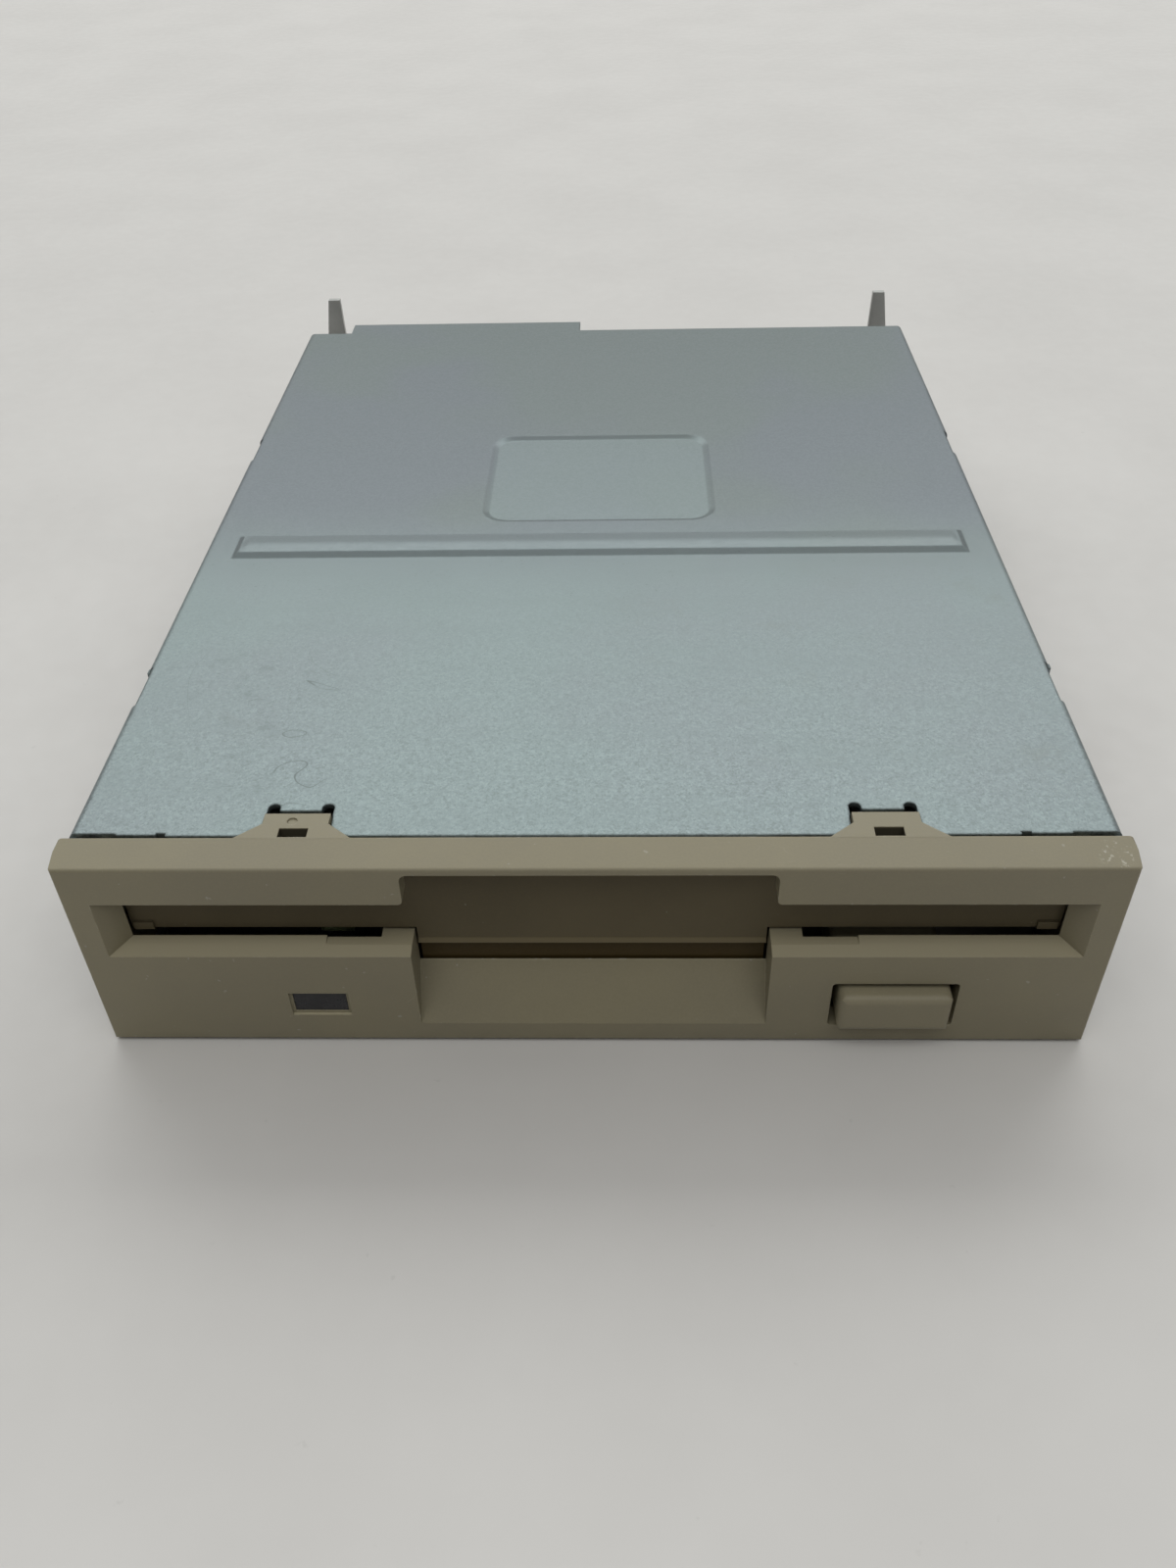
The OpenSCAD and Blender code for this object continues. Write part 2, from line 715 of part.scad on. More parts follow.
// Door panel with a hinge knuckle along its top, and a lipped tongue with a seal in the middle
module dust_door() {
    spring_gap = [-door_w / 2 + 3, -door_w / 2 + 7.8];
    color("#5a4f3c") union() {
        difference() {
            union() {
                block([-door_w / 2, door_w / 2], [door_y0, door_y1], [door_z0, hinge_z]);
                rod_x(knuckle_r, [-door_w / 2, door_w / 2], hinge_y, hinge_z);
                along_x([-tongue_w / 2, tongue_w / 2]) polygon([
                    [door_y0, door_z0 + 1], [door_y0, tongue_z0 + 0.55], [door_y0 - tongue_lip, tongue_z0],
                    [seal_y0, tongue_z0], [seal_y0, seal_z0], [seal_y0 + seal_t, seal_z0],
                    [seal_y0 + seal_t, tongue_z0 + 0.6], [door_y1, tongue_z0 + 0.8], [door_y1, door_z0 + 1]]);
            }
            block(spring_gap, [door_y0 - eps, hinge_y + 2], [hinge_z - 1.6, hinge_z + 1]);
        }
        for (x = [-door_w / 2, door_w / 2 - door_pad[0]])
            translate([x + (x < 0 ? 0.3 : -0.3), door_y0 - door_pad[1], door_z0])
                cube([door_pad[0], door_pad[1] + eps, door_pad[2]]);
        rod_x(hinge_r, [-lug_x - lug_t, -door_w / 2 + eps], hinge_y, hinge_z);
        rod_x(hinge_r, [door_w / 2 - eps, lug_x + lug_t], hinge_y, hinge_z);
        rod_x(hinge_r, [spring_gap[0] - eps, spring_gap[1] + eps], hinge_y, hinge_z);
    }
}

// Torsion spring round the hinge, with one leg behind the door
module door_spring() {
    turns = 4;
    length = 3.6;
    wire = 0.16;
    r = 0.92;
    echo(door_spring_gap = helix_gap(turns, length, wire));
    color("#9a9a98") translate([-door_w / 2 + 3.6, hinge_y, hinge_z])
        tube_along(helix(r, turns, length, 0.4), wire);
}

// Hollow button cap with rounded front edges
module eject_button() {
    x = [button_x - button_w / 2, button_x + button_w / 2];
    y = [-button_proud, arm_y + 2 * button_r];
    z = [button_z - button_h / 2, button_z + button_h / 2];
    s = button_skin;
    color("#8c8470") difference() {
        intersection() {
            along_x(x) round_rect(y, z, button_r);
            along_y([y[0], arm_y]) round_rect(x, z, button_r);
            along_z(z) round_rect(x, y, button_r);
        }
        block([x[0] + s, x[1] - s], [y[0] + 2 * s, arm_y + 1], [z[0] + s, z[1] - s]);
    }
}

// Loading gear

// Outline in y and z of the slots that the tray's pins and the guide studs run in
module cam_slots() {
    for (y = pin_ys)
        slot_outline([y, pin_z], [y + eject_travel, pin_z - disk_drop], pin_r + pin_gap);
    for (y = stud_ys) slot_outline([y, pin_z], [y + eject_travel, pin_z], stud_r + pin_gap);
}

// Sheet bridge over the tray: cam walls at the sides, an arm to the button on the right
module eject_plate() {
    y1 = pin_ys[1] + eject_travel + 6;
    tab_x0 = lever_pivot[0] + nose_x - nose_bite;
    tab_y = lever_pivot[1] - nose_y + nose_gap;
    color("#aab0b0") difference() {
        union() {
            along_y([plate_y0, y1]) difference() {
                round_rect([-plate_out, plate_out], [plate_z_low - 4, plate_z1], plate_t + 0.4);
                round_rect([-plate_in, plate_in], [plate_z_low - 5, plate_z0], 0.4);
                translate([-half_w, plate_z_low - 5]) square([drive_w, 5]);
            }
            block([plate_in, plate_out], [arm_y, plate_y0 + eps], [arm_z[0], plate_z_low + 3]);
            block([button_x - button_w / 2 + 2, plate_out], [arm_y, arm_y + plate_t], arm_z);
            block([button_x - 2.4, button_x + 2.4], [arm_y - 4, arm_y + eps],
                [button_z - 0.6, button_z + 0.6]);
            block([tab_x0 - 1, plate_in - 0.6], [y1 - eps, tab_y + plate_t], [plate_z0, plate_z1]);
            block([tab_x0, plate_in - 0.6], [tab_y, tab_y + plate_t], [lever_z0 - 0.1, plate_z0 + eps]);
            for (s = [-1, 1]) rod_z(hook_r, [s * spring_x, hook_y], [plate_z1 - eps, spring_z + 0.9]);
        }
        along_x([-half_w, half_w]) cam_slots();
        along_z([plate_z0 - eps, plate_z1 + eps]) union() {
            translate([-head_window / 2 - 1, spindle_y + 12]) square([head_window + 2, y1]);
            door_notch(plate_y0, door_reach + eject_travel);
            for (s = [-1, 1], y = [58, 74]) round_rect_at([s * 25, y], [sheet_window, sheet_window]);
            for (x = [-17, 0, 17]) round_rect_at([x, plate_y0 + 13], [sheet_window, sheet_window]);
        }
    }
}

// Notch in a sheet's front edge that lets the open door's tongue through
module door_notch(y0, y1) {
    half = tongue_w / 2 + 0.7;
    translate([-half, y0 - 1]) square([2 * half, y1 - y0 + 1]);
}

// Pair of extension springs from the chassis to the eject plate
module eject_springs() {
    turns = 14;
    lead = 1.2;
    y0 = anchor_y[1] + 0.2;
    length = hook_y - hook_r - 0.2 - y0 - 2 * lead;
    echo(eject_spring_gap = helix_gap(turns, length, spring_wire_r));
    color("#b8bab8") for (s = [-1, 1]) translate([s * spring_x, y0 + lead, spring_z])
        rotate([0, 0, 90]) tube_along(helix(spring_r, turns, length, lead), spring_wire_r);
}

// Rivets on the chassis walls that carry the eject plate
module guide_studs() {
    color("#b8bab8") both_sides() for (y = stud_ys) rod_x(stud_r, [plate_in - 0.2, pan_in], y, pin_z);
}

// Folded sheet tray that the disk slides into
module holder_tray() {
    y1 = lever_pivot[1] - 12;
    color("#b4b8b6") difference() {
        union() {
            along_y([tray_y0, y1]) difference() {
                round_rect([-tray_out, tray_out], [tray_floor - tray_t, tray_z1], 0.9);
                round_rect([-tray_in, tray_in], [tray_floor, tray_top], 0.3);
                translate([-tray_in + lip_w, tray_floor - tray_t - 1]) square([2 * (tray_in - lip_w), 2]);
            }
        }
        along_z([tray_top - eps, tray_z1 + eps]) union() {
            translate([-head_window / 2, spindle_y + 18]) square([head_window, y1]);
            door_notch(tray_y0, door_reach);
            translate([0, spindle_y]) circle(sheet_window / 2);
            for (s = [-1, 1]) leaf_cut(s * (tray_in - 13.4));
        }
        translate([lever_pivot[0], lever_pivot[1], tray_top - eps])
            rotate([0, 0, lever_rest - lever_sweep - 6])
                rotate_extrude(angle = lever_sweep + 12)
                    translate([lever_r - finger_r - 0.5, 0]) square([2 * finger_r + 1, tray_t + 2 * eps]);
    }
}

// Three-sided cut that frees a leaf of the tray's top
module leaf_cut(x) {
    difference() {
        translate([x - 5, tray_y0 + 12]) square([10, 26]);
        translate([x - 4, tray_y0 + 13]) square([8, 26]);
    }
}

module holder_pins() {
    color("#c8cac8") both_sides() for (y = pin_ys) rod_x(pin_r, [tray_out, pan_in + pan_t * 0.7], y, pin_z);
}

// Lever with a finger in the disk's path and a nose that holds the eject plate back
module shutter_lever() {
    c = lever_pivot;
    finger = c + lever_r * [cos(lever_rest), sin(lever_rest)];
    color("#8f9494") difference() {
        union() {
            along_z([lever_z0, lever_z1]) union() {
                translate(c) circle(3.6);
                slot_outline(c, finger, 2.2);
                translate(c + [-2.4, -nose_y - 1.5]) square([4.6, nose_y]);
                translate(c + [-2.4, -nose_y - 1.5]) square([nose_x + 2.4, 1.5]);
            }
            rod_z(finger_r, finger, [tray_floor - 0.5, lever_z0 + eps]);
        }
        rod_z(lever_post_r + run_gap, c, [lever_z0 - eps, lever_z1 + eps]);
    }
}

module lever_post() {
    color("#c8cac8") union() {
        rod_z(lever_post_r, lever_pivot, [floor_z1, lever_z1 + 0.9]);
        rod_z(3.4, lever_pivot, [floor_z1, floor_z1 + 1]);
        rod_z(lever_post_r + 0.9, lever_pivot, [floor_z1, lever_z0 - loose_gap]);
    }
}

module lever_clip() {
    z = lever_z1 + loose_gap;
    color("#70757a") difference() {
        rod_z(3, lever_pivot, [z, z + 0.5]);
        rod_z(lever_post_r + run_gap, lever_pivot, [z - eps, z + 0.5 + eps]);
        translate([lever_pivot[0] - 0.8, lever_pivot[1] - 4, z - eps]) cube([1.6, 4, 0.5 + 2 * eps]);
    }
}

// Torsion spring under the lever
module lever_spring() {
    turns = 4;
    wire = 0.25;
    length = 3.8;
    echo(lever_spring_gap = helix_gap(turns, length, wire));
    color("#b8bab8") translate([lever_pivot[0], lever_pivot[1], lever_z0 - 4.4]) rotate([0, -90, 0])
        tube_along(helix(lever_post_r + 1.45, turns, length, 0.5), wire);
}

// Cover and chassis

module cover_bead(grow) {
    y = bead_w / 2 + grow;
    x = bead_len / 2 + grow;
    s = bead_slope;
    intersection() {
        along_x([-half_w, half_w]) polygon([
            [bead_y - y - s, cover_z1 - bead_h], [bead_y + y + s, cover_z1 - bead_h],
            [bead_y + y - s, cover_z1 + bead_h], [bead_y - y + s, cover_z1 + bead_h]]);
        along_y([0, drive_d]) polygon([
            [-x - s, cover_z1 - bead_h], [x + s, cover_z1 - bead_h],
            [x - s, cover_z1 + bead_h], [-x + s, cover_z1 + bead_h]]);
    }
}

// Shallow pressed panel: a flat bottom and a sloping edge, grown by grow and lowered to z
module cover_panel(grow, z) {
    slope = 0.9;
    hull() for (sx = [-1, 1], sy = [-1, 1])
        translate([sx * (panel_w / 2 - panel_r), panel_y + sy * (panel_len / 2 - panel_r), z])
            cylinder(r1 = panel_r - slope + grow, r2 = panel_r + grow, h = panel_sink, $fn = 32);
}

// Cut round a clip tab, with two relief slots behind it
module clip_cut() {
    tip = bezel_d + tab_reach;
    along_z([cover_z0 - 4, cover_z1 + 1]) union() {
        clip_tab_outline(clip_gap);
        translate([-relief_x, tip]) square([2 * relief_x, tongue_gap]);
        for (s = [-1, 1]) slot_outline([s * relief_x, tip - 0.2], [s * relief_x, tip + relief_len], relief_r);
    }
}

// Tongue bent down behind a clip tab
module clip_tongue() {
    y = bezel_d + tab_reach + tongue_gap;
    block([-1.9, 1.9], [y, y + cover_t], [cover_z0 - 0.9, cover_z1 - 0.1]);
}

module skirt_cuts() {
    for (gap = skirt_gaps) both_sides()
        block([cover_in, half_w + 1], gap, [skirt_z0 - 1, cover_z1 + 1]);
    both_sides() for (y = dimple_ys)
        rod_x(dimple_r + loose_gap, [cover_in - eps, half_w + 1], y, dimple_z);
}

module front_edge_cuts() {
    both_sides() {
        for (cut = [[4.8, 0, 0.35], [8.7, 0, 0.15], [9.6, 8.7, 0.4]])
            block([cover_out - cut[0], cover_out - cut[1] + eps], [cover_y0 - 1, cover_y0 + cut[2]],
                [cover_z0 - eps, cover_z1 + 1]);
    }
}

module top_cover() {
    color("#93a0a0") difference() {
        union() {
            difference() {
                union() {
                    mirror([0, 0, 1]) along_y([cover_y0, cover_y1])
                        channel(cover_out, [-cover_z1, -skirt_z0], cover_t, cover_bend_r);
                    block([7.2 - cover_out, -4.1], [cover_y1 - eps, cover_y1 + tail_len],
                        [cover_z0, cover_z1]);
                    cover_panel(cover_t, cover_z1 - panel_sink - cover_t);
                    cover_bead(0);
                }
                cover_panel(0, cover_z1 - panel_sink + 0.001);
                translate([0, 0, -cover_t]) cover_bead(-0.2);
            }
            for (s = [-1, 1]) translate([s * tab_x, 0, 0]) clip_tongue();
            both_sides() block([cover_out - eps, cover_out + nib[0]], [nib_y, nib_y + nib[1]],
                [cover_z1 - cover_bend_r - nib[2], cover_z1 - cover_bend_r]);
        }
        for (s = [-1, 1]) translate([s * tab_x, 0, 0]) clip_cut();
        skirt_cuts();
        front_edge_cuts();
    }
}

// Chassis floor: windows and grooves, all kept clear of the boards' screws
module floor_cuts() {
    along_z([floor_z - 1, floor_z1 + eps]) union() {
        for (x = [-14, 0, 14]) round_rect_at([x, 20], [11, 6]);
        for (s = [-1, 1], y = [42, 56, 70]) round_rect_at([s * (pan_in - 9), y], [8, 10]);
        for (at = [[28, 106], [28, 122], [pan_in - 7, 124]]) round_rect_at(at, [9, 11]);
        for (x = [-3, 28]) round_rect_at([x, 140], [12, 6]);
        for (s = [-1, 1]) translate([s * (pan_in - 13), 86]) circle(2);
    }
    along_z([floor_z - 1, floor_z + groove_d]) union() {
        for (x = [15.5 - pan_in, pan_in - 15.5]) slot_outline([x, 30], [x, 92], 1.4);
        slot_outline([-26, 81], [26, 81], 1.4);
    }
}

module round_rect_at(at, size) {
    round_rect([at[0] - size[0] / 2, at[0] + size[0] / 2], [at[1] - size[1] / 2, at[1] + size[1] / 2], 1);
}

module wall_cuts() {
    along_x([-half_w, half_w]) union() {
        for (y = pin_ys) slot_outline([y, pin_z], [y, pin_z - disk_drop], pin_r + pin_gap);
        translate([clip_y1 - catch_len - pass_gap, clip_z[0] + 0.7])
            square([catch_len + 2 * pass_gap, clip_z[1] - clip_z[0] - 1.4]);
        translate([cover_y1 + 0.5, rear_wall_h]) square([drive_d, drive_h]);
    }
    both_sides() along_y([0, drive_d]) polygon([
        [pan_out - wall_chamfer, pan_z1], [pan_out, pan_z1 - wall_chamfer], [half_w, pan_z1 - wall_chamfer],
        [half_w, pan_z1 + 1], [pan_out - wall_chamfer, pan_z1 + 1]]);
}

// Ear standing at a rear corner, tapered on its outer side towards its tip
module rear_ear() {
    in_x = ear_out - ear_w;
    tip_x = pan_out;
    along_y([drive_d - pan_t, drive_d]) polygon([
        [in_x, floor_z1 + 3], [pan_out, floor_z1 + 3], [pan_out, ear_z - 1.5], [ear_out, ear_z],
        [tip_x, drive_h - ear_step], [tip_x - ear_tip_w, drive_h - ear_step], [in_x, ear_z]]);
}

module chassis() {
    foot_xs = [-foot_span / 2, foot_span / 2];
    mount_ys = [mount_y, mount_y + mount_pitch];
    color("#a2a8a6") difference() {
        union() {
            difference() {
                along_y([pan_y0, drive_d]) channel(pan_out, [floor_z, pan_z1], pan_t, pan_bend_r);
                floor_cuts();
                wall_cuts();
            }
            both_sides() {
                rear_ear();
                for (y = mount_ys) rod_x(collar_r, [pan_in - collar_len, pan_in + eps], y, side_hole_z);
                for (y = dimple_ys)
                    rod_x(dimple_r, [pan_out - eps, pan_out + cover_t], y, dimple_z);
                block([spring_x - 1.2, pan_in + eps], anchor_y, [spring_z - 0.6, spring_z + 0.5]);
            }
            for (x = foot_xs, y = mount_ys) rod_z(pad_r, [x, y], [0, floor_z1]);
            for (at = board_screws_at) rod_z(standoff_r, at, [floor_z, board_z0]);
        }
        for (y = mount_ys) rod_x(mount_r, [-half_w - 1, half_w + 1], y, side_hole_z);
        for (x = foot_xs, y = mount_ys) rod_z(mount_r, [x, y], [-1, floor_z1 + 1]);
        for (at = board_screws_at) rod_z(board_screw_r + run_gap, at, [floor_z - eps, board_z0 + eps]);
        for (at = motor_screws_at) rod_z(motor_screw_r + run_gap, at, [floor_z - eps, floor_z1 + eps]);
        for (at = bracket_screws_at) rod_z(bracket_screw_r + run_gap, at, [floor_z - eps, floor_z1 + eps]);
    }
}

// Pan-head screw standing on height z with a cross recess; shank of radius r down to z - depth
module screw_at(at, z, r, depth) {
    head_r = 2 * r;
    head_h = 1.2 * r;
    difference() {
        union() {
            rod_z(head_r, at, [z, z + head_h]);
            rod_z(r, at, [z - depth, z + eps]);
        }
        for (turn = [0, 90]) translate([at[0], at[1], z + head_h / 2]) rotate(turn)
            translate([-head_r * 0.6, -head_r * 0.12, 0]) cube([head_r * 1.2, head_r * 0.24, head_h]);
    }
}

// Front board, lamp and sensing switches

module switch_board() {
    color("#3f6a3a") block([6 - pan_in, pan_in - 6], switch_board_y, [floor_z1, switch_z0]);
}

module led_holder() {
    half = 2.5;
    color("#2b2b2d") difference() {
        block([-lamp_x - half, -lamp_x + half], [11.5, 18], [switch_z0, lamp_z + half]);
        rod_y(led_r + run_gap, -lamp_x, [11.5 - eps, 15], lamp_z);
        block([-lamp_x - 0.8, -lamp_x + 0.8], [15 - eps, 18 + eps], [switch_z0 - eps, lamp_z]);
    }
}

module activity_led() {
    color("#b9c79a") union() {
        rod_y(led_r, -lamp_x, [9.2, 14.8], lamp_z);
        rod_y(led_r + 0.4, -lamp_x, [10.7, 11.5], lamp_z);
    }
}

module switch_body(x) {
    w = switch_size / 2;
    difference() {
        union() {
            block([x - w[0], x + w[0]], [switch_y - w[1], switch_y + w[1]], [switch_z0, switch_z1]);
            rod_z(plunger_r + 0.9, [x, switch_y], [switch_z1 - eps, switch_z1 + 0.6]);
        }
        rod_z(plunger_r + loose_gap, [x, switch_y], [switch_z0 + 1.6, switch_z1 + 1]);
    }
}

module plunger(x) {
    cap = plunger_r * 0.4;
    rod_z(plunger_r, [x, switch_y], [switch_z0 + 1.6 + plunger_travel + 0.4, plunger_top - cap]);
    translate([x, switch_y, plunger_top - cap - eps])
        cylinder(r1 = plunger_r, r2 = plunger_r - cap, h = cap + eps);
}

module protect_switch() {
    color("#33363a") switch_body(protect_x);
}

module protect_plunger() {
    color("#d8d6cc") plunger(protect_x);
}

module density_switch() {
    color("#33363a") switch_body(density_x);
}

module density_plunger() {
    color("#d8d6cc") plunger(density_x);
}

module disk_switch() {
    color("#33363a") switch_body(disk_x);
}

module disk_plunger() {
    color("#d8d6cc") plunger(disk_x);
}

// Spindle motor

module motor_board() {
    cut = 8;
    x = motor_board_x;
    y = motor_board_y;
    color("#3f6a3a") difference() {
        along_z([floor_z1, motor_z0]) difference() {
            polygon([
                [-x, y[0]], [x, y[0]], [x, y[1] - cut], [x - cut, y[1]], [cut - x, y[1]], [-x, y[1] - cut]]);
            translate([0, spindle_y]) circle(bearing_r);
        }
        for (at = motor_screws_at) rod_z(motor_screw_r + loose_gap, at, [floor_z1 - eps, motor_z0 + eps]);
    }
}

module motor_screws() {
    color("#c0c2c0") for (at = motor_screws_at) screw_at(at, motor_z0, motor_screw_r, motor_board_t + pan_t);
}

module spindle_bearing() {
    c = [0, spindle_y];
    color("#b08d4a") difference() {
        union() {
            rod_z(bearing_r + 2.4, c, [motor_z0, motor_z0 + bearing_flange_t]);
            rod_z(bearing_r + 1, c, [motor_z0, stator_z0]);
            rod_z(bearing_r, c, [motor_z0, rotor_z1 - rotor_t - pass_gap]);
        }
        rod_z(shaft_r + run_gap, c, [motor_z0 + 0.4, rotor_z1]);
    }
}

module stator_core() {
    neck = 1.8;
    tip_w = PI * stator_r / pole_count * 1.4;
    color("#8a8d90") translate([0, spindle_y, 0]) along_z([stator_z0, stator_z0 + stator_t])
        difference() {
            union() {
                circle(coil_r0 - 0.6);
                for (i = [0 : pole_count - 1]) rotate(360 * i / pole_count) {
                    translate([0, -neck / 2]) square([stator_r - 1, neck]);
                    intersection() {
                        translate([stator_r - 1.7, -tip_w / 2]) square([3, tip_w]);
                        circle(stator_r);
                    }
                }
            }
            circle(bearing_r + run_gap);
        }
}

module stator_coils() {
    side = 2.1;
    up = stator_t / 2 + 0.9;
    color("#b5673a") for (i = [0 : pole_count - 1])
        translate([0, spindle_y, stator_z0 + stator_t / 2]) rotate(360 * i / pole_count)
            along_x([coil_r0, stator_r - 2.2]) difference() {
                round_rect([-side, side], [-up, up], 0.7);
                translate([-1, -stator_t / 2 - loose_gap]) square([2, stator_t + 2 * loose_gap]);
            }
}

module rotor_cup() {
    bend = 0.9;
    bore = shaft_r + run_gap;
    color("#9aa0a2") translate([0, spindle_y, 0]) rotate_extrude() difference() {
        union() {
            translate([bore, rotor_z0]) square([rotor_r - bore - bend, rotor_z1 - rotor_z0]);
            translate([rotor_r - bend - eps, rotor_z0]) square([bend + eps, rotor_z1 - rotor_z0 - bend]);
            translate([rotor_r - bend, rotor_z1 - bend]) circle(bend);
        }
        translate([0, rotor_z0 - 1]) square([rotor_r - rotor_t, rotor_z1 - rotor_z0 + 1 - rotor_t]);
    }
}

module ring_magnet() {
    color("#3c3a38") translate([0, spindle_y, rotor_z0 + 0.3]) difference() {
        cylinder(r = rotor_r - rotor_t - run_gap, h = rotor_z1 - rotor_t - rotor_z0 - 0.3);
        translate([0, 0, -1]) cylinder(r = magnet_r, h = rotor_z1);
    }
}

module spindle_shaft() {
    tip = 0.5;
    top = disk_z0 + 1.9;
    color("#d0d2d2") union() {
        rod_z(shaft_r, [0, spindle_y], [motor_z0 + 0.6, top - tip]);
        translate([0, spindle_y, top - tip - eps]) cylinder(r1 = shaft_r, r2 = shaft_r - tip, h = tip + eps);
    }
}

module hub_table() {
    t = 1.2;
    color("#c6c8c6") translate([0, spindle_y, 0]) rotate_extrude() difference() {
        union() {
            translate([0, rotor_z1]) square([6, hub_z1 - rotor_z1]);
            polygon([
                [0, hub_z1 - t], [hub_r, hub_z1 - t], [hub_r, hub_z1 - 0.3], [hub_r - 0.3, hub_z1],
                [0, hub_z1]]);
        }
        translate([-1, rotor_z1 - 1]) square([1 + shaft_r + run_gap, hub_z1]);
        translate([4, hub_z1 - 0.3]) square([3.4, 1]);
    }
}

module drive_pin() {
    y = spindle_y + hub_r - drive_pin_r - 0.4;
    straight = 0.9;
    tip = 0.4;
    color("#d8d8d4") union() {
        rod_z(drive_pin_r, [0, y], [hub_z1, hub_z1 + straight]);
        translate([0, y, hub_z1 + straight - eps])
            cylinder(r1 = drive_pin_r, r2 = drive_pin_r - tip, h = tip + eps);
    }
}

// Head carriage and its drive

module arm_post(x) {
    w = arm_post_t / 2;
    top = arm_pivot[2] + 1.8;
    along_x([x - w, x + w]) union() {
        translate([carriage_y1 - 3, carriage_z[0]]) square([9, carriage_z[1] - carriage_z[0]]);
        translate([arm_pivot[1] - 2.4, carriage_z[0]]) square([4.8, arm_pivot[2] - carriage_z[0]]);
        translate([arm_pivot[1], arm_pivot[2]]) circle(min(2.4, top - arm_pivot[2] + 0.6));
    }
}

// Fork that runs on the side rod, reached by an arm under the lead screw
module side_fork() {
    low = rail_z - side_rod_r - run_gap;
    high = rail_z + side_rod_r + run_gap;
    web_x = side_rod_x + side_rod_r + 0.6;
    block([carriage_x[1] - 2, web_x + 1.2], fork_y, [low - 2.1, low]);
    block([carriage_x[1] - 2, carriage_x[1]], fork_y, [low - 2.1, carriage_z[1]]);
    block([web_x, web_x + 1.2], fork_y, [low - 2.1, high + 1.3]);
    block([side_rod_x - 1.4, web_x + 1.2], fork_y, [high, high + 1.3]);
}

// Thin flag that reaches into the track sensor
module track_flag() {
    block([flag_x - 0.4, carriage_x[0] + 1], flag_y, [carriage_z[1] - 0.8, carriage_z[1]]);
    block([flag_x - 0.4, flag_x + 0.4], flag_y, [carriage_z[1] - 4.6, carriage_z[1]]);
}

module head_carriage() {
    boss_r = rod_r + bush_t + 0.8;
    color("#3a3d42") difference() {
        union() {
            block(carriage_x, [carriage_y0, carriage_y1], carriage_z);
            rod_y(boss_r, main_rod_x, [carriage_y0, carriage_y1], rail_z);
            block([-4.6, 4.6], [head_y - 4, carriage_y0 + eps], [carriage_z[1] - tongue_t, carriage_z[1]]);
            both_sides() arm_post(arm_post_x);
            side_fork();
            track_flag();
        }
        rod_y(rod_r + bush_t + run_gap, main_rod_x, [carriage_y0 - eps, carriage_y1 + eps], rail_z);
        block([-5.5, 4], [carriage_y0 + 3, carriage_y1 - 3], [0, drive_h]);
        rod_x(arm_pin_r + run_gap, [-half_w, half_w], arm_pivot[1], arm_pivot[2]);
    }
}

module carriage_bushes() {
    len = 4;
    color("#b08d4a") for (y = [carriage_y0, carriage_y1 - len]) difference() {
        rod_y(rod_r + bush_t, main_rod_x, [y, y + len], rail_z);
        rod_y(rod_r + run_gap, main_rod_x, [y - eps, y + len + eps], rail_z);
    }
}

// Pin that runs in the groove of the lead screw
module screw_needle() {
    color("#d0d2d2") rod_x(needle_r, [carriage_x[1], screw_x - screw_r - loose_gap], needle_y, screw_z);
}

module lower_head() {
    x = head_size[0] / 2;
    y = head_size[1] / 2;
    color("#54504a") block([-x, x], [head_y - y, head_y + y], [carriage_z[1], media_z - head_gap]);
}

// Raises the parts of the upper arm about its pivot, from the lowered pose to the rest pose
module raised() {
    translate(arm_pivot) rotate([-arm_lift, 0, 0]) translate(-arm_pivot) children();
}

module upper_arm() {
    z = media_z + head_gap + head_size[2];
    t = 1.4;
    barrel_r = 2;
    color("#4a4d52") raised() difference() {
        union() {
            along_z([z, z + t]) polygon([
                [-4, head_y - 4], [4, head_y - 4], [4, head_y + 4], [5, head_y + 10],
                [5, arm_pivot[1] - 3], [-5, arm_pivot[1] - 3], [-5, head_y + 10], [-4, head_y + 4]]);
            block([-arm_half, arm_coil_x], [arm_pivot[1] - 4, arm_pivot[1]], [z, z + t]);
            rod_x(barrel_r, [-arm_half, arm_coil_x], arm_pivot[1], arm_pivot[2]);
            both_sides() block([3, 4], [head_y + 3, arm_pivot[1] - 3], [z + t - eps, z + t + 0.8]);
        }
        rod_x(arm_pin_r + run_gap, [-arm_half - eps, arm_coil_x + eps], arm_pivot[1], arm_pivot[2]);
    }
}

module arm_pin() {
    reach = arm_post_x + arm_post_t / 2 + 0.3;
    color("#d0d2d2") rod_x(arm_pin_r, [-reach, reach], arm_pivot[1], arm_pivot[2]);
}

module upper_head() {
    x = head_size[0] / 2;
    y = head_size[1] / 2;
    z = media_z + head_gap;
    color("#54504a") raised() block([-x, x], [head_y - y, head_y + y], [z, z + head_size[2]]);
}

// Torsion spring round the arm's pin
module load_spring() {
    turns = 3;
    lead = 0.3;
    length = arm_half - arm_coil_x - 2 * lead - 0.4;
    echo(load_spring_gap = helix_gap(turns, length, spring_wire_r));
    color("#b8bab8") translate([arm_coil_x + lead + 0.2, arm_pivot[1], arm_pivot[2]])
        tube_along(helix(arm_pin_r + 0.55, turns, length, lead), spring_wire_r);
}

module guide_rod_main() {
    color("#d0d2d2") rod_y(rod_r, main_rod_x, [rail_y0, rail_y1], rail_z);
}

module guide_rod_side() {
    color("#d0d2d2") rod_y(side_rod_r, side_rod_x, [rail_y0, rail_y1], rail_z);
}

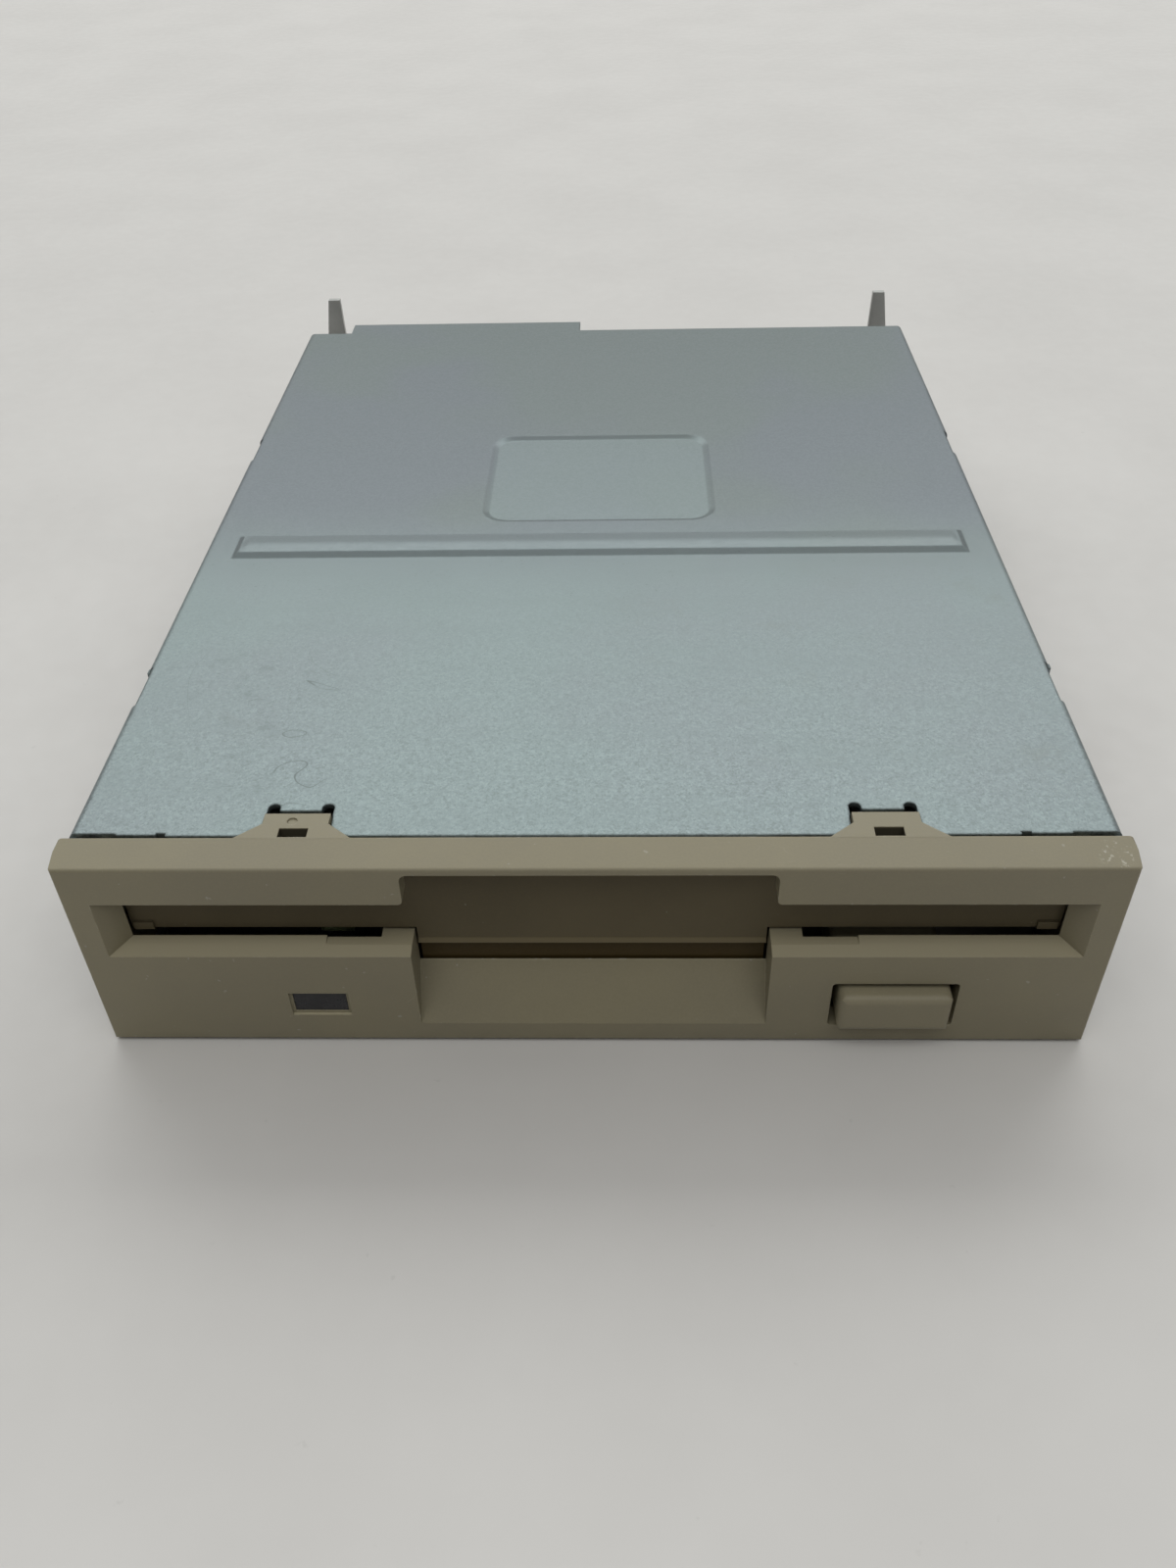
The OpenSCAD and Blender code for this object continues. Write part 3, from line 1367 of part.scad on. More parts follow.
// Four pillars that hold the ends of the guide rods
module rod_clamps() {
    rods = [[main_rod_x, rod_r], [side_rod_x, side_rod_r]];
    color("#7d8388") for (rod = rods, y = [rail_y0, rail_y1 - clamp_t])
        difference() {
            block([rod[0] - 3, rod[0] + 3], [y, y + clamp_t], [floor_z1, rail_z + 2.6]);
            rod_y(rod[1] + run_gap, rod[0], [y - eps, y + clamp_t + eps], rail_z);
        }
}

module stepper_motor() {
    y1 = stepper_y0 + stepper_len;
    color("#8f9598") difference() {
        union() {
            rod_y(stepper_r, screw_x, [stepper_y0, y1], screw_z);
            rod_y(stepper_boss_r, screw_x, [stepper_y0 - frame_t + 0.1, stepper_y0 + eps], screw_z);
            rod_y(stepper_boss_r + 0.5, screw_x, [y1 - eps, y1 + 0.6], screw_z);
            block([screw_x - 4, screw_x + 4], [stepper_y0 + 3, y1 - 3], [screw_z, screw_z + stepper_r + 1.4]);
        }
        rod_y(screw_r + run_gap, screw_x, [stepper_y0 - frame_t, stepper_y0 + 3], screw_z);
    }
}

// U-shaped frame: front bearing of the screw, base on the floor, motor plate at the rear
module stepper_bracket() {
    x = [screw_x - 2.8, screw_x + 2.8];
    plate = stepper_r + 1;
    y1 = stepper_y0;
    color("#a2a8a6") difference() {
        union() {
            block(x, [bracket_y0, y1], [floor_z1, floor_z1 + frame_t]);
            block(x, [bracket_y0, bracket_y0 + frame_t], [floor_z1, screw_z + 2]);
            block([screw_x - plate, screw_x + plate], [y1 - frame_t, y1], [floor_z1, screw_z + plate]);
        }
        rod_y(screw_r + run_gap, screw_x, [bracket_y0 - eps, bracket_y0 + frame_t + eps], screw_z);
        rod_y(stepper_boss_r + run_gap, screw_x, [y1 - frame_t - eps, y1 + eps], screw_z);
        for (at = bracket_screws_at)
            rod_z(bracket_screw_r + loose_gap, at, [floor_z1 - eps, floor_z1 + frame_t + eps]);
    }
}

module stepper_screws() {
    color("#c0c2c0") for (at = bracket_screws_at)
        screw_at(at, floor_z1 + frame_t, bracket_screw_r, frame_t + pan_t);
}

// Plain core with a raised helical thread round it
module lead_screw() {
    turns = floor((stepper_y0 - frame_t - bracket_y0 - frame_t - 2 * thread_end) / screw_pitch);
    length = turns * screw_pitch;
    echo(thread_gap = helix_gap(turns, length, thread_wire_r));
    color("#b8bab8") union() {
        rod_y(screw_r, screw_x, [bracket_y0 - 0.3, stepper_y0 + 2.6], screw_z);
        translate([screw_x, thread_y0, screw_z]) rotate([0, 0, 90])
            tube_along(helix(screw_r + thread_wire_r, turns, length, 2 * thread_wire_r), thread_wire_r);
    }
}

// Light gate for the outermost track
module track_sensor() {
    y = [flag_y[0] - 0.6, flag_y[1] + 0.6];
    gap = 1.5;
    leg = 2.4;
    top = carriage_z[1] - 1.2;
    color("#2b2b2d") union() {
        block([flag_x - gap - leg, flag_x + gap + leg], y, [board_z1, board_z1 + 1]);
        for (x = [flag_x - gap - leg, flag_x + gap]) block([x, x + leg], y, [board_z1, top]);
    }
}

// Rear board, its parts and the two connectors

module control_board() {
    color("#3f6a3a") difference() {
        along_z([board_z0, board_z1]) polygon([
            [board_x0, board_y0], [board_in_x, board_y0], [board_in_x, strip_y0], [board_x1, strip_y0],
            [board_x1, board_y1], [board_x0, board_y1]]);
        for (at = board_screws_at) rod_z(board_screw_r + loose_gap, at, [board_z0 - eps, board_z1 + eps]);
    }
}

// Flat chip body centred on at
module chip(at, size) {
    translate([at[0] - size[0] / 2, at[1] - size[1] / 2, board_z1]) cube(size);
}

// Flat chip with a row of feet along its two long sides
module chip_with_feet(at, size, feet) {
    pitch = (size[1] - 1) / (feet - 1);
    translate([0, 0, 0.3]) chip(at, size);
    for (i = [0 : feet - 1], s = [-1, 1])
        chip([at[0] + s * (size[0] / 2 + 0.4), at[1] - size[1] / 2 + 0.5 + i * pitch], [0.9, 0.5, 0.9]);
}

module control_chips() {
    color("#2b2b2d") union() {
        chip_with_feet([board_x0 + 10, board_y0 + 14.5], [9, 14, 2], 10);
        chip_with_feet([board_in_x - 8, board_y0 + 27.5], [6, 10, 1.6], 7);
        chip([board_x0 + 5, board_y0 + 32.5], [4, 3, 1.6]);
        for (y = [26, 29.5]) chip([board_x0 + 11.5, board_y0 + y], [3.2, 1.6, 1]);
        rod_z(2.2, [board_x0 + 5, board_y0 + 26.5], [board_z1, board_z1 + 5]);
    }
}

module board_screws() {
    color("#c0c2c0") for (at = board_screws_at)
        screw_at(at, board_z1, board_screw_r, board_t + standoff_h + pan_t / 2);
}

function data_at(i) = data_x + (i - (data_cols - 1) / 2) * pin_pitch_data;
function data_row_z(row) = board_z1 + 1.5 + row * pin_pitch_data;

module data_connector() {
    half = data_cols * pin_pitch_data / 2 + 0.3;
    w = data_pin / 2 + run_gap;
    color("#26282a") difference() {
        block([data_x - half, data_x + half], [header_y, header_y + header_d],
            [board_z1, data_row_z(1) + pin_pitch_data / 2]);
        for (i = [0 : data_cols - 1], row = [0, 1])
            block([data_at(i) - w, data_at(i) + w], [header_y - eps, header_y + header_d + eps],
                [data_row_z(row) - w, data_row_z(row) + w]);
    }
}

// Right-angled pins: down to the board in front of the header, out to the rear behind it
module data_pins() {
    w = data_pin / 2;
    color("#c9b27a") for (i = [0 : data_cols - 1], row = [0, 1]) {
        x = [data_at(i) - w, data_at(i) + w];
        leg_y = header_y - 1.4 - row * pin_pitch_data;
        block(x, [leg_y, drive_d - 0.6], [data_row_z(row) - w, data_row_z(row) + w]);
        block(x, [leg_y, leg_y + data_pin], [board_z1, data_row_z(row) + w]);
    }
}

function power_at(i) = power_x + (i - (power_cols - 1) / 2) * pin_pitch_power;

module power_connector() {
    half = power_cols * pin_pitch_power / 2 + 1;
    w = power_pin / 2 + run_gap;
    y = [power_y0, power_y0 + 2.2, board_y1 - 0.4];
    color("#d9d5c6") difference() {
        union() {
            block([power_x - half, power_x + half], [y[0], y[1]], [board_z1, power_z + 2.4]);
            block([power_x - half, power_x + half], [y[0], y[2]], [board_z1, board_z1 + 1]);
            for (s = [0, 1]) translate([power_x - half + s * (2 * half - 1), y[0], board_z1])
                cube([1, y[2] - y[0], power_z - board_z1 + 1]);
        }
        for (i = [0 : power_cols - 1])
            block([power_at(i) - w, power_at(i) + w], [y[0] - eps, y[1] + eps], [power_z - w, power_z + w]);
    }
}

module power_pins() {
    w = power_pin / 2;
    color("#c9cbc8") for (i = [0 : power_cols - 1]) {
        x = [power_at(i) - w, power_at(i) + w];
        block(x, [power_y0 - 1.2, board_y1 - 0.8], [power_z - w, power_z + w]);
        block(x, [power_y0 - 1.2, power_y0 - 1.2 + power_pin], [board_z1, power_z + w]);
    }
}

in_frame() front_bezel();
in_frame() led_lens();
in_frame() dust_door();
in_frame() door_spring();
in_frame() eject_button();
in_frame() eject_plate();
in_frame() eject_springs();
in_frame() guide_studs();
in_frame() holder_tray();
in_frame() holder_pins();
in_frame() shutter_lever();
in_frame() lever_post();
in_frame() lever_clip();
in_frame() lever_spring();
in_frame() top_cover();
in_frame() chassis();
in_frame() switch_board();
in_frame() led_holder();
in_frame() activity_led();
in_frame() protect_switch();
in_frame() protect_plunger();
in_frame() density_switch();
in_frame() density_plunger();
in_frame() disk_switch();
in_frame() disk_plunger();
in_frame() motor_board();
in_frame() motor_screws();
in_frame() spindle_bearing();
in_frame() stator_core();
in_frame() stator_coils();
in_frame() rotor_cup();
in_frame() ring_magnet();
in_frame() spindle_shaft();
in_frame() hub_table();
in_frame() drive_pin();
in_frame() head_carriage();
in_frame() carriage_bushes();
in_frame() screw_needle();
in_frame() lower_head();
in_frame() upper_arm();
in_frame() arm_pin();
in_frame() upper_head();
in_frame() load_spring();
in_frame() guide_rod_main();
in_frame() guide_rod_side();
in_frame() rod_clamps();
in_frame() stepper_motor();
in_frame() stepper_bracket();
in_frame() stepper_screws();
in_frame() lead_screw();
in_frame() track_sensor();
in_frame() control_board();
in_frame() control_chips();
in_frame() board_screws();
in_frame() data_connector();
in_frame() data_pins();
in_frame() power_connector();
in_frame() power_pins();
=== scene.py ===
"""Looks of the floppy disk drive: camera, light, floor, the finish of every node and the wire springs."""

import json
import math

import bpy
from mathutils import Matrix, Vector


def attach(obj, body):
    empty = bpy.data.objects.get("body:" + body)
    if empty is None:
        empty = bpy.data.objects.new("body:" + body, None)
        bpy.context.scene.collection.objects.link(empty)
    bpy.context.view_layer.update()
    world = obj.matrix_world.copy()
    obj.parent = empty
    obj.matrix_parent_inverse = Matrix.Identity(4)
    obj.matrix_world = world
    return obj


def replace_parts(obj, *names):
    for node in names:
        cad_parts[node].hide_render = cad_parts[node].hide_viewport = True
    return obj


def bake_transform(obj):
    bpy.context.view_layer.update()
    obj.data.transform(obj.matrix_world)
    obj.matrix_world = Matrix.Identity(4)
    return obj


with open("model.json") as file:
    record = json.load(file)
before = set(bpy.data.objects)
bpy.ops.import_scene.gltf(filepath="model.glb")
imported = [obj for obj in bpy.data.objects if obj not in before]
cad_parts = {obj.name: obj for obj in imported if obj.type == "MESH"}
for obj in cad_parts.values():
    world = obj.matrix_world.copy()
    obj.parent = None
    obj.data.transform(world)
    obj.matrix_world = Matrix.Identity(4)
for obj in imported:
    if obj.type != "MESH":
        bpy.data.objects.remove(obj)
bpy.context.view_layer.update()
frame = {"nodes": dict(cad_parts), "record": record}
NODES = frame["nodes"]
MM = 0.001
# Distance in mm from the bezel's face to the frame's origin
MID_Y = 72.75

# Camera, fitted to the photograph's corners of the bezel and the cover: place in mm, turns in radians
CAMERA_AT = (3.54, -84.73, 107.43)
CAMERA_PITCH, CAMERA_YAW, CAMERA_ROLL = 0.7044, -0.0392, -0.0290
FOCAL_PX = 1309.6
PHOTO_HEIGHT_PX = 1600
SENSOR_MM = 36

# Room light: pairs of the direction's height, 0 at the horizon and 1 overhead, and the level there
FRONT_LEVELS = ((0.0, 0.04), (0.55, 0.07), (0.78, 0.45), (1.0, 0.3))
BACK_LEVELS = ((0.0, 0.7), (0.12, 0.7), (0.28, 0.12), (0.44, 0.14), (0.64, 0.8), (0.8, 0.75), (0.93, 0.3))
FRONT_TINT, BACK_TINT = (1, 0.97, 0.93), (0.99, 1, 0.985)
# Span of the direction's Y over which the front's light gives way to the back's
BACK_FROM, BACK_FULL = -0.35, 0.25
PANEL_TINT = (0.985, 1.0, 0.97)

# Places on the drive in mm: x, depth behind the bezel's face, height
LAMP_AT = (-27.8, 0.2, 5.95)
SCUFFED_CORNER = (48.6, 1.7, 25.2)
LONG_SCRATCH, SHORT_SCRATCH = (-39, 25, 24.9), (-31, 13.5, 24.9)
TAB_X = 28.25
BEAD_Y, PANEL_Y = 59.35, 78.2

# Sockets of a Mix node that mixes colours
MIX_SHARE, MIX_A, MIX_B, MIX_RESULT = 0, 6, 7, 2

# Directions in the frame
UP, RIGHT, BACK, FRONT = (0, 0, 1), (1, 0, 0), (0, 1, 0), (0, -1, 0)

# Wire springs: sides of the wire, steps in a turn of a coil
WIRE_SIDES = 10
COIL_STEPS = 28
# Rounded end of a wire: distance past the end and width, both as shares of the wire's radius
WIRE_DOME = ((0.55, 0.84), (0.9, 0.43))
# Direction that no wire starts along
WIRE_SIDE_HINT = (0.3, 0.2, 0.93)

# Floor: radius in metres, and its depth in mm below the drive's foot
FLOOR_RADIUS = 4
FLOOR_DROP = 0.02


def spot(x, y, z):
    """Point in metres from x, height z and depth y behind the bezel's face, all in mm."""
    return Vector((x * MM, (y - MID_Y) * MM, z * MM))


def make_camera():
    ahead = Vector((
        math.sin(CAMERA_YAW) * math.cos(CAMERA_PITCH),
        math.cos(CAMERA_YAW) * math.cos(CAMERA_PITCH),
        -math.sin(CAMERA_PITCH)))
    level = Vector((math.cos(CAMERA_YAW), -math.sin(CAMERA_YAW), 0))
    above = level.cross(ahead)
    right = math.cos(CAMERA_ROLL) * level + math.sin(CAMERA_ROLL) * above
    up = -math.sin(CAMERA_ROLL) * level + math.cos(CAMERA_ROLL) * above
    data = bpy.data.cameras.new("camera")
    data.lens = FOCAL_PX * SENSOR_MM / PHOTO_HEIGHT_PX
    data.sensor_width = SENSOR_MM
    data.clip_start, data.clip_end = 0.005, 20
    camera = bpy.data.objects.new("camera", data)
    bpy.context.scene.collection.objects.link(camera)
    turn = Matrix((right, up, -ahead)).transposed().to_4x4()
    camera.matrix_world = Matrix.Translation(spot(*CAMERA_AT)) @ turn
    bpy.context.scene.camera = camera


def make_light(name, place, size, energy):
    """Soft panel that faces the frame's origin; its place and size are in metres."""
    data = bpy.data.lights.new(name, "AREA")
    data.shape = "RECTANGLE"
    data.size, data.size_y = size
    data.energy = energy
    data.color = PANEL_TINT
    light = bpy.data.objects.new(name, data)
    bpy.context.scene.collection.objects.link(light)
    light.location = place
    light.rotation_mode = "QUATERNION"
    light.rotation_quaternion = (Vector((0, 0, 0)) - Vector(place)).to_track_quat("-Z", "Y")


def make_world():
    """Soft room: behind the drive a pale foot, a dimmer wall and a bright top; in front light from above."""
    world = bpy.data.worlds.new("studio")
    bpy.context.scene.world = world
    world.use_nodes = True
    tree = world.node_tree
    parts = tree.nodes.new("ShaderNodeSeparateXYZ")
    tree.links.new(tree.nodes.new("ShaderNodeTexCoord").outputs["Generated"], parts.inputs[0])

    def side(stops, tint):
        """Light by height: pairs of the direction's Z and the level there."""
        made = tree.nodes.new("ShaderNodeValToRGB")
        made.color_ramp.interpolation = "EASE"
        tree.links.new(parts.outputs["Z"], made.inputs["Fac"])
        marks = made.color_ramp.elements
        while len(marks) < len(stops):
            marks.new(0.5)
        for mark, (at, level) in zip(marks, stops):
            mark.position = at
            mark.color = (level * tint[0], level * tint[1], level * tint[2], 1)
        return made.outputs["Color"]

    behind = tree.nodes.new("ShaderNodeMapRange")
    behind.interpolation_type = "SMOOTHSTEP"
    behind.inputs["From Min"].default_value, behind.inputs["From Max"].default_value = BACK_FROM, BACK_FULL
    tree.links.new(parts.outputs["Y"], behind.inputs["Value"])
    room = tree.nodes.new("ShaderNodeMix")
    room.data_type = "RGBA"
    tree.links.new(behind.outputs["Result"], room.inputs[MIX_SHARE])
    tree.links.new(side(FRONT_LEVELS, FRONT_TINT), room.inputs[MIX_A])
    tree.links.new(side(BACK_LEVELS, BACK_TINT), room.inputs[MIX_B])
    tree.links.new(room.outputs[MIX_RESULT], tree.nodes["Background"].inputs["Color"])


# Node helpers
class Shader:
    """A material with one Principled shader, and short calls for the nodes that feed it."""

    def __init__(self, name, **sockets):
        self.material = bpy.data.materials.new(name)
        self.material.use_nodes = True
        self.tree = self.material.node_tree
        self.bsdf = self.tree.nodes["Principled BSDF"]
        for socket, value in sockets.items():
            self.bsdf.inputs[socket.replace("_", " ")].default_value = value
        self.place = self.add("ShaderNodeTexCoord").outputs["Object"]

    def add(self, kind, **options):
        made = self.tree.nodes.new(kind)
        for option, value in options.items():
            setattr(made, option, value)
        return made

    def link(self, source, target):
        self.tree.links.new(source, target)

    def feed(self, target, value):
        """Link a socket, or set a number or a colour."""
        if isinstance(value, bpy.types.NodeSocket):
            self.link(value, target)
        elif isinstance(value, (tuple, list)) and len(value) == 3 and len(target.default_value) == 4:
            target.default_value = (*value, 1)
        else:
            target.default_value = value

    def set(self, socket, value):
        self.feed(self.bsdf.inputs[socket], value)

    def stretched(self, x, y, z):
        made = self.add("ShaderNodeMapping")
        self.link(self.place, made.inputs["Vector"])
        made.inputs["Scale"].default_value = (x, y, z)
        return made.outputs["Vector"]

    def noise(self, scale, detail=3, rough=0.55, place=None, warp=0.0):
        """Noise with the given number of cells in a metre."""
        made = self.add("ShaderNodeTexNoise")
        self.link(place or self.place, made.inputs["Vector"])
        made.inputs["Scale"].default_value = scale
        made.inputs["Detail"].default_value = detail
        made.inputs["Roughness"].default_value = rough
        made.inputs["Distortion"].default_value = warp
        return made.outputs["Fac"]

    def cells(self, scale, output, place):
        made = self.add("ShaderNodeTexVoronoi")
        self.link(place, made.inputs["Vector"])
        made.inputs["Scale"].default_value = scale
        return made.outputs[output]

    def math(self, operation, a, b=0.0):
        made = self.add("ShaderNodeMath", operation=operation)
        self.feed(made.inputs[0], a)
        self.feed(made.inputs[1], b)
        return made.outputs[0]

    def levels(self, value, low, high, out_low=0.0, out_high=1.0):
        """Smooth step from out_low, where the value is low, to out_high, where it is high."""
        made = self.add("ShaderNodeMapRange", interpolation_type="SMOOTHSTEP")
        self.feed(made.inputs["Value"], value)
        ends = (("From Min", low), ("From Max", high), ("To Min", out_low), ("To Max", out_high))
        for socket, number in ends:
            made.inputs[socket].default_value = number
        return made.outputs["Result"]

    def mix(self, share, a, b):
        made = self.add("ShaderNodeMix", data_type="RGBA")
        self.feed(made.inputs[MIX_SHARE], share)
        self.feed(made.inputs[MIX_A], a)
        self.feed(made.inputs[MIX_B], b)
        return made.outputs[MIX_RESULT]

    def coat(self, mask, share, under, over):
        """A colour laid over another where the mask is 1, at the given share."""
        return self.mix(self.math("MULTIPLY", mask, share), under, over)

    def axis(self, name):
        made = self.add("ShaderNodeSeparateXYZ")
        self.link(self.place, made.inputs[0])
        return made.outputs[name]

    def depth(self, low, high, out_low=0.0, out_high=1.0):
        """Step along the drive's depth, between two distances in mm behind the bezel's face."""
        return self.levels(self.axis("Y"), (low - MID_Y) * MM, (high - MID_Y) * MM, out_low, out_high)

    def height(self, low, high):
        """Step from 0 to 1 between two heights in mm."""
        return self.levels(self.axis("Z"), low * MM, high * MM)

    def band(self, value, centre, low, high, inside=1.0):
        """The inside level up to low mm from a centre in mm, falling to 0 at high mm."""
        away = self.math("ABSOLUTE", self.math("SUBTRACT", value, centre * MM))
        return self.levels(away, low * MM, high * MM, inside, 0)

    def facing(self, axis, low, high):
        """1 where the surface faces along an axis, 0 where it faces across it."""
        made = self.add("ShaderNodeSeparateXYZ")
        self.link(self.add("ShaderNodeNewGeometry").outputs["Normal"], made.inputs[0])
        return self.levels(made.outputs[axis], low, high)

    def near(self, centre, reach):
        """1 within reach of a place on the drive, falling to 0 at twice that; both in mm."""
        made = self.add("ShaderNodeVectorMath", operation="DISTANCE")
        self.link(self.place, made.inputs[0])
        made.inputs[1].default_value = spot(*centre)
        return self.levels(made.outputs["Value"], reach * MM, 2 * reach * MM, 1, 0)

    def hairlines(self, field, low, high):
        """Thin lines along which a noise field passes its middle."""
        return self.levels(self.math("ABSOLUTE", self.math("SUBTRACT", field, 0.5)), low, high, 1, 0)

    def product(self, *values):
        total = values[0]
        for value in values[1:]:
            total = self.math("MULTIPLY", total, value)
        return total

    def bump(self, height, depth_mm, strength, under=None):
        made = self.add("ShaderNodeBump")
        made.inputs["Strength"].default_value = strength
        made.inputs["Distance"].default_value = depth_mm * MM
        self.feed(made.inputs["Height"], height)
        if under is not None:
            self.link(under, made.inputs["Normal"])
        self.link(made.outputs[0], self.bsdf.inputs["Normal"])
        return made.outputs[0]

    def soft_edge(self, radius_mm):
        made = self.add("ShaderNodeBevel", samples=4)
        made.inputs["Radius"].default_value = radius_mm * MM
        return made.outputs[0]

    def edge(self, radius_mm, low=0.02, high=0.12):
        """1 on the outer and inner edges of the shape, 0 on its flats."""
        made = self.add("ShaderNodeVectorMath", operation="DOT_PRODUCT")
        self.link(self.soft_edge(radius_mm), made.inputs[0])
        self.link(self.add("ShaderNodeNewGeometry").outputs["Normal"], made.inputs[1])
        return self.levels(self.math("SUBTRACT", 1.0, made.outputs["Value"]), low, high)


def shade(base, share):
    return tuple(min(1.0, c * share) for c in base)


def tinted(base, red, green, blue):
    return (base[0] * red, base[1] * green, base[2] * blue)


# Materials: noise scales count cells in a metre; edge radii, bump depths and places are in mm
def bezel_plastic(name, base, front_wear_and_light, soft=0.14):
    """Grained plastic whose edges are paler, partly from wear and partly a painted highlight; the front flag
    adds the marks that belong to places on the bezel: wear, and also painted highlights and painted shade.
    """
    s = Shader(name, Specular_IOR_Level=0.42)
    broad = s.noise(45, 4, 0.6)
    colour = s.mix(s.levels(broad, 0.32, 0.68), shade(base, 0.96), tinted(base, 1.05, 1.045, 1.0))
    grain = s.noise(4200, 2, 0.5)
    colour = s.mix(s.levels(grain, 0.35, 0.72, 0, 0.16), colour, shade(base, 1.35))
    dust = s.levels(s.noise(900, 2, 0.5), 0.735, 0.77)
    colour = s.coat(dust, 0.45, colour, (0.42, 0.40, 0.35))
    # Paler edges: partly wear, partly a painted highlight along the edges
    worn_and_highlit = s.product(s.edge(0.2), s.levels(s.noise(260, 4, 0.7), 0.38, 0.62, 0.3, 0.75))
    colour = s.mix(worn_and_highlit, colour, shade(base, 1.55))
    nicks = s.product(s.edge(0.16, 0.05, 0.15), s.levels(s.noise(1100, 2, 0.5), 0.6, 0.66))
    colour = s.coat(nicks, 0.6, colour, (0.55, 0.53, 0.45))
    if front_wear_and_light:
        # Ramp of the slot's lip painted lighter: a painted highlight on its upward slope
        ramp_highlight = s.product(
            s.facing("Z", 0.5, 0.8), s.height(12.2, 12.6), s.height(14.0, 13.8), s.depth(3.9, 3.6))
        colour = s.mix(ramp_highlight, colour, shade(base, 1.42))
        specks = s.product(
            s.near(SCUFFED_CORNER, 1.1), s.height(24.9, 25.05), s.levels(s.noise(2100, 3, 0.6), 0.57, 0.64))
        colour = s.coat(specks, 0.55, colour, (0.50, 0.48, 0.41))
        hair = s.hairlines(s.noise(30, 3, 0.6, warp=2.0), 0.0004, 0.0011)
        scuffs = s.product(hair, s.levels(s.noise(75, 2), 0.56, 0.66), s.levels(s.noise(400, 2), 0.4, 0.6))
        colour = s.coat(scuffs, 0.4, colour, (0.38, 0.35, 0.28))
        # Lower edge of the lamp window, which faces up, painted lighter: a painted highlight
        lamp_edge_highlight = s.product(s.near(LAMP_AT, 3.4), s.facing("Z", 0.5, 0.8))
        colour = s.mix(lamp_edge_highlight, colour, shade(base, 1.6))
        # Insides of the clip tabs' windows painted dark: painted shade in the recesses
        tab_window_shade = s.product(
            s.band(s.math("ABSOLUTE", s.axis("X")), TAB_X, 1.42, 1.5),
            s.depth(4.0, 4.08), s.depth(5.45, 5.37), s.height(25.36, 25.2))
        colour = s.mix(tab_window_shade, colour, shade(base, 0.3))
        # Darker in patches towards the bottom
        low_dark_patches = s.product(s.height(2.4, 0.4), s.levels(s.noise(180, 4, 0.7), 0.36, 0.7))
        colour = s.coat(low_dark_patches, 0.35, colour, shade(base, 0.62))
    s.set("Base Color", colour)
    s.set("Roughness", s.levels(grain, 0.3, 0.7, 0.42, 0.56))
    s.bump(grain, 0.012, 0.5, s.soft_edge(soft))
    return s.material


def door_plastic(name, base):
    """Door: grained plastic in a colour given darker as painted shade, with a painted highlight on the lip
    of its tongue and painted shade on the set-back strip below that.
    """
    s = Shader(name, Specular_IOR_Level=0.2)
    grain = s.noise(3800, 2, 0.5)
    colour = s.mix(s.levels(s.noise(50, 4, 0.6), 0.3, 0.7), shade(base, 0.92), shade(base, 1.08))
    colour = s.mix(s.levels(grain, 0.4, 0.75, 0, 0.2), colour, shade(base, 1.4))
    dust = s.levels(s.noise(850, 2, 0.5), 0.73, 0.77)
    colour = s.coat(dust, 0.4, colour, (0.30, 0.28, 0.22))
    # Painted highlight on the lip of the tongue, which tilts up
    lip_highlight = s.product(s.height(12.55, 12.4), s.height(11.85, 11.95))
    colour = s.coat(lip_highlight, 0.8, colour, shade(base, 1.45))
    # Painted shade on the set-back strip below the lip
    strip_shade = s.product(s.height(12.05, 11.9), s.depth(3.6, 4.0))
    colour = s.mix(strip_shade, colour, (0.062, 0.042, 0.014))
    s.set("Base Color", colour)
    s.set("Roughness", s.levels(grain, 0.3, 0.7, 0.5, 0.62))
    s.bump(grain, 0.012, 0.5, s.soft_edge(0.1))
    return s.material


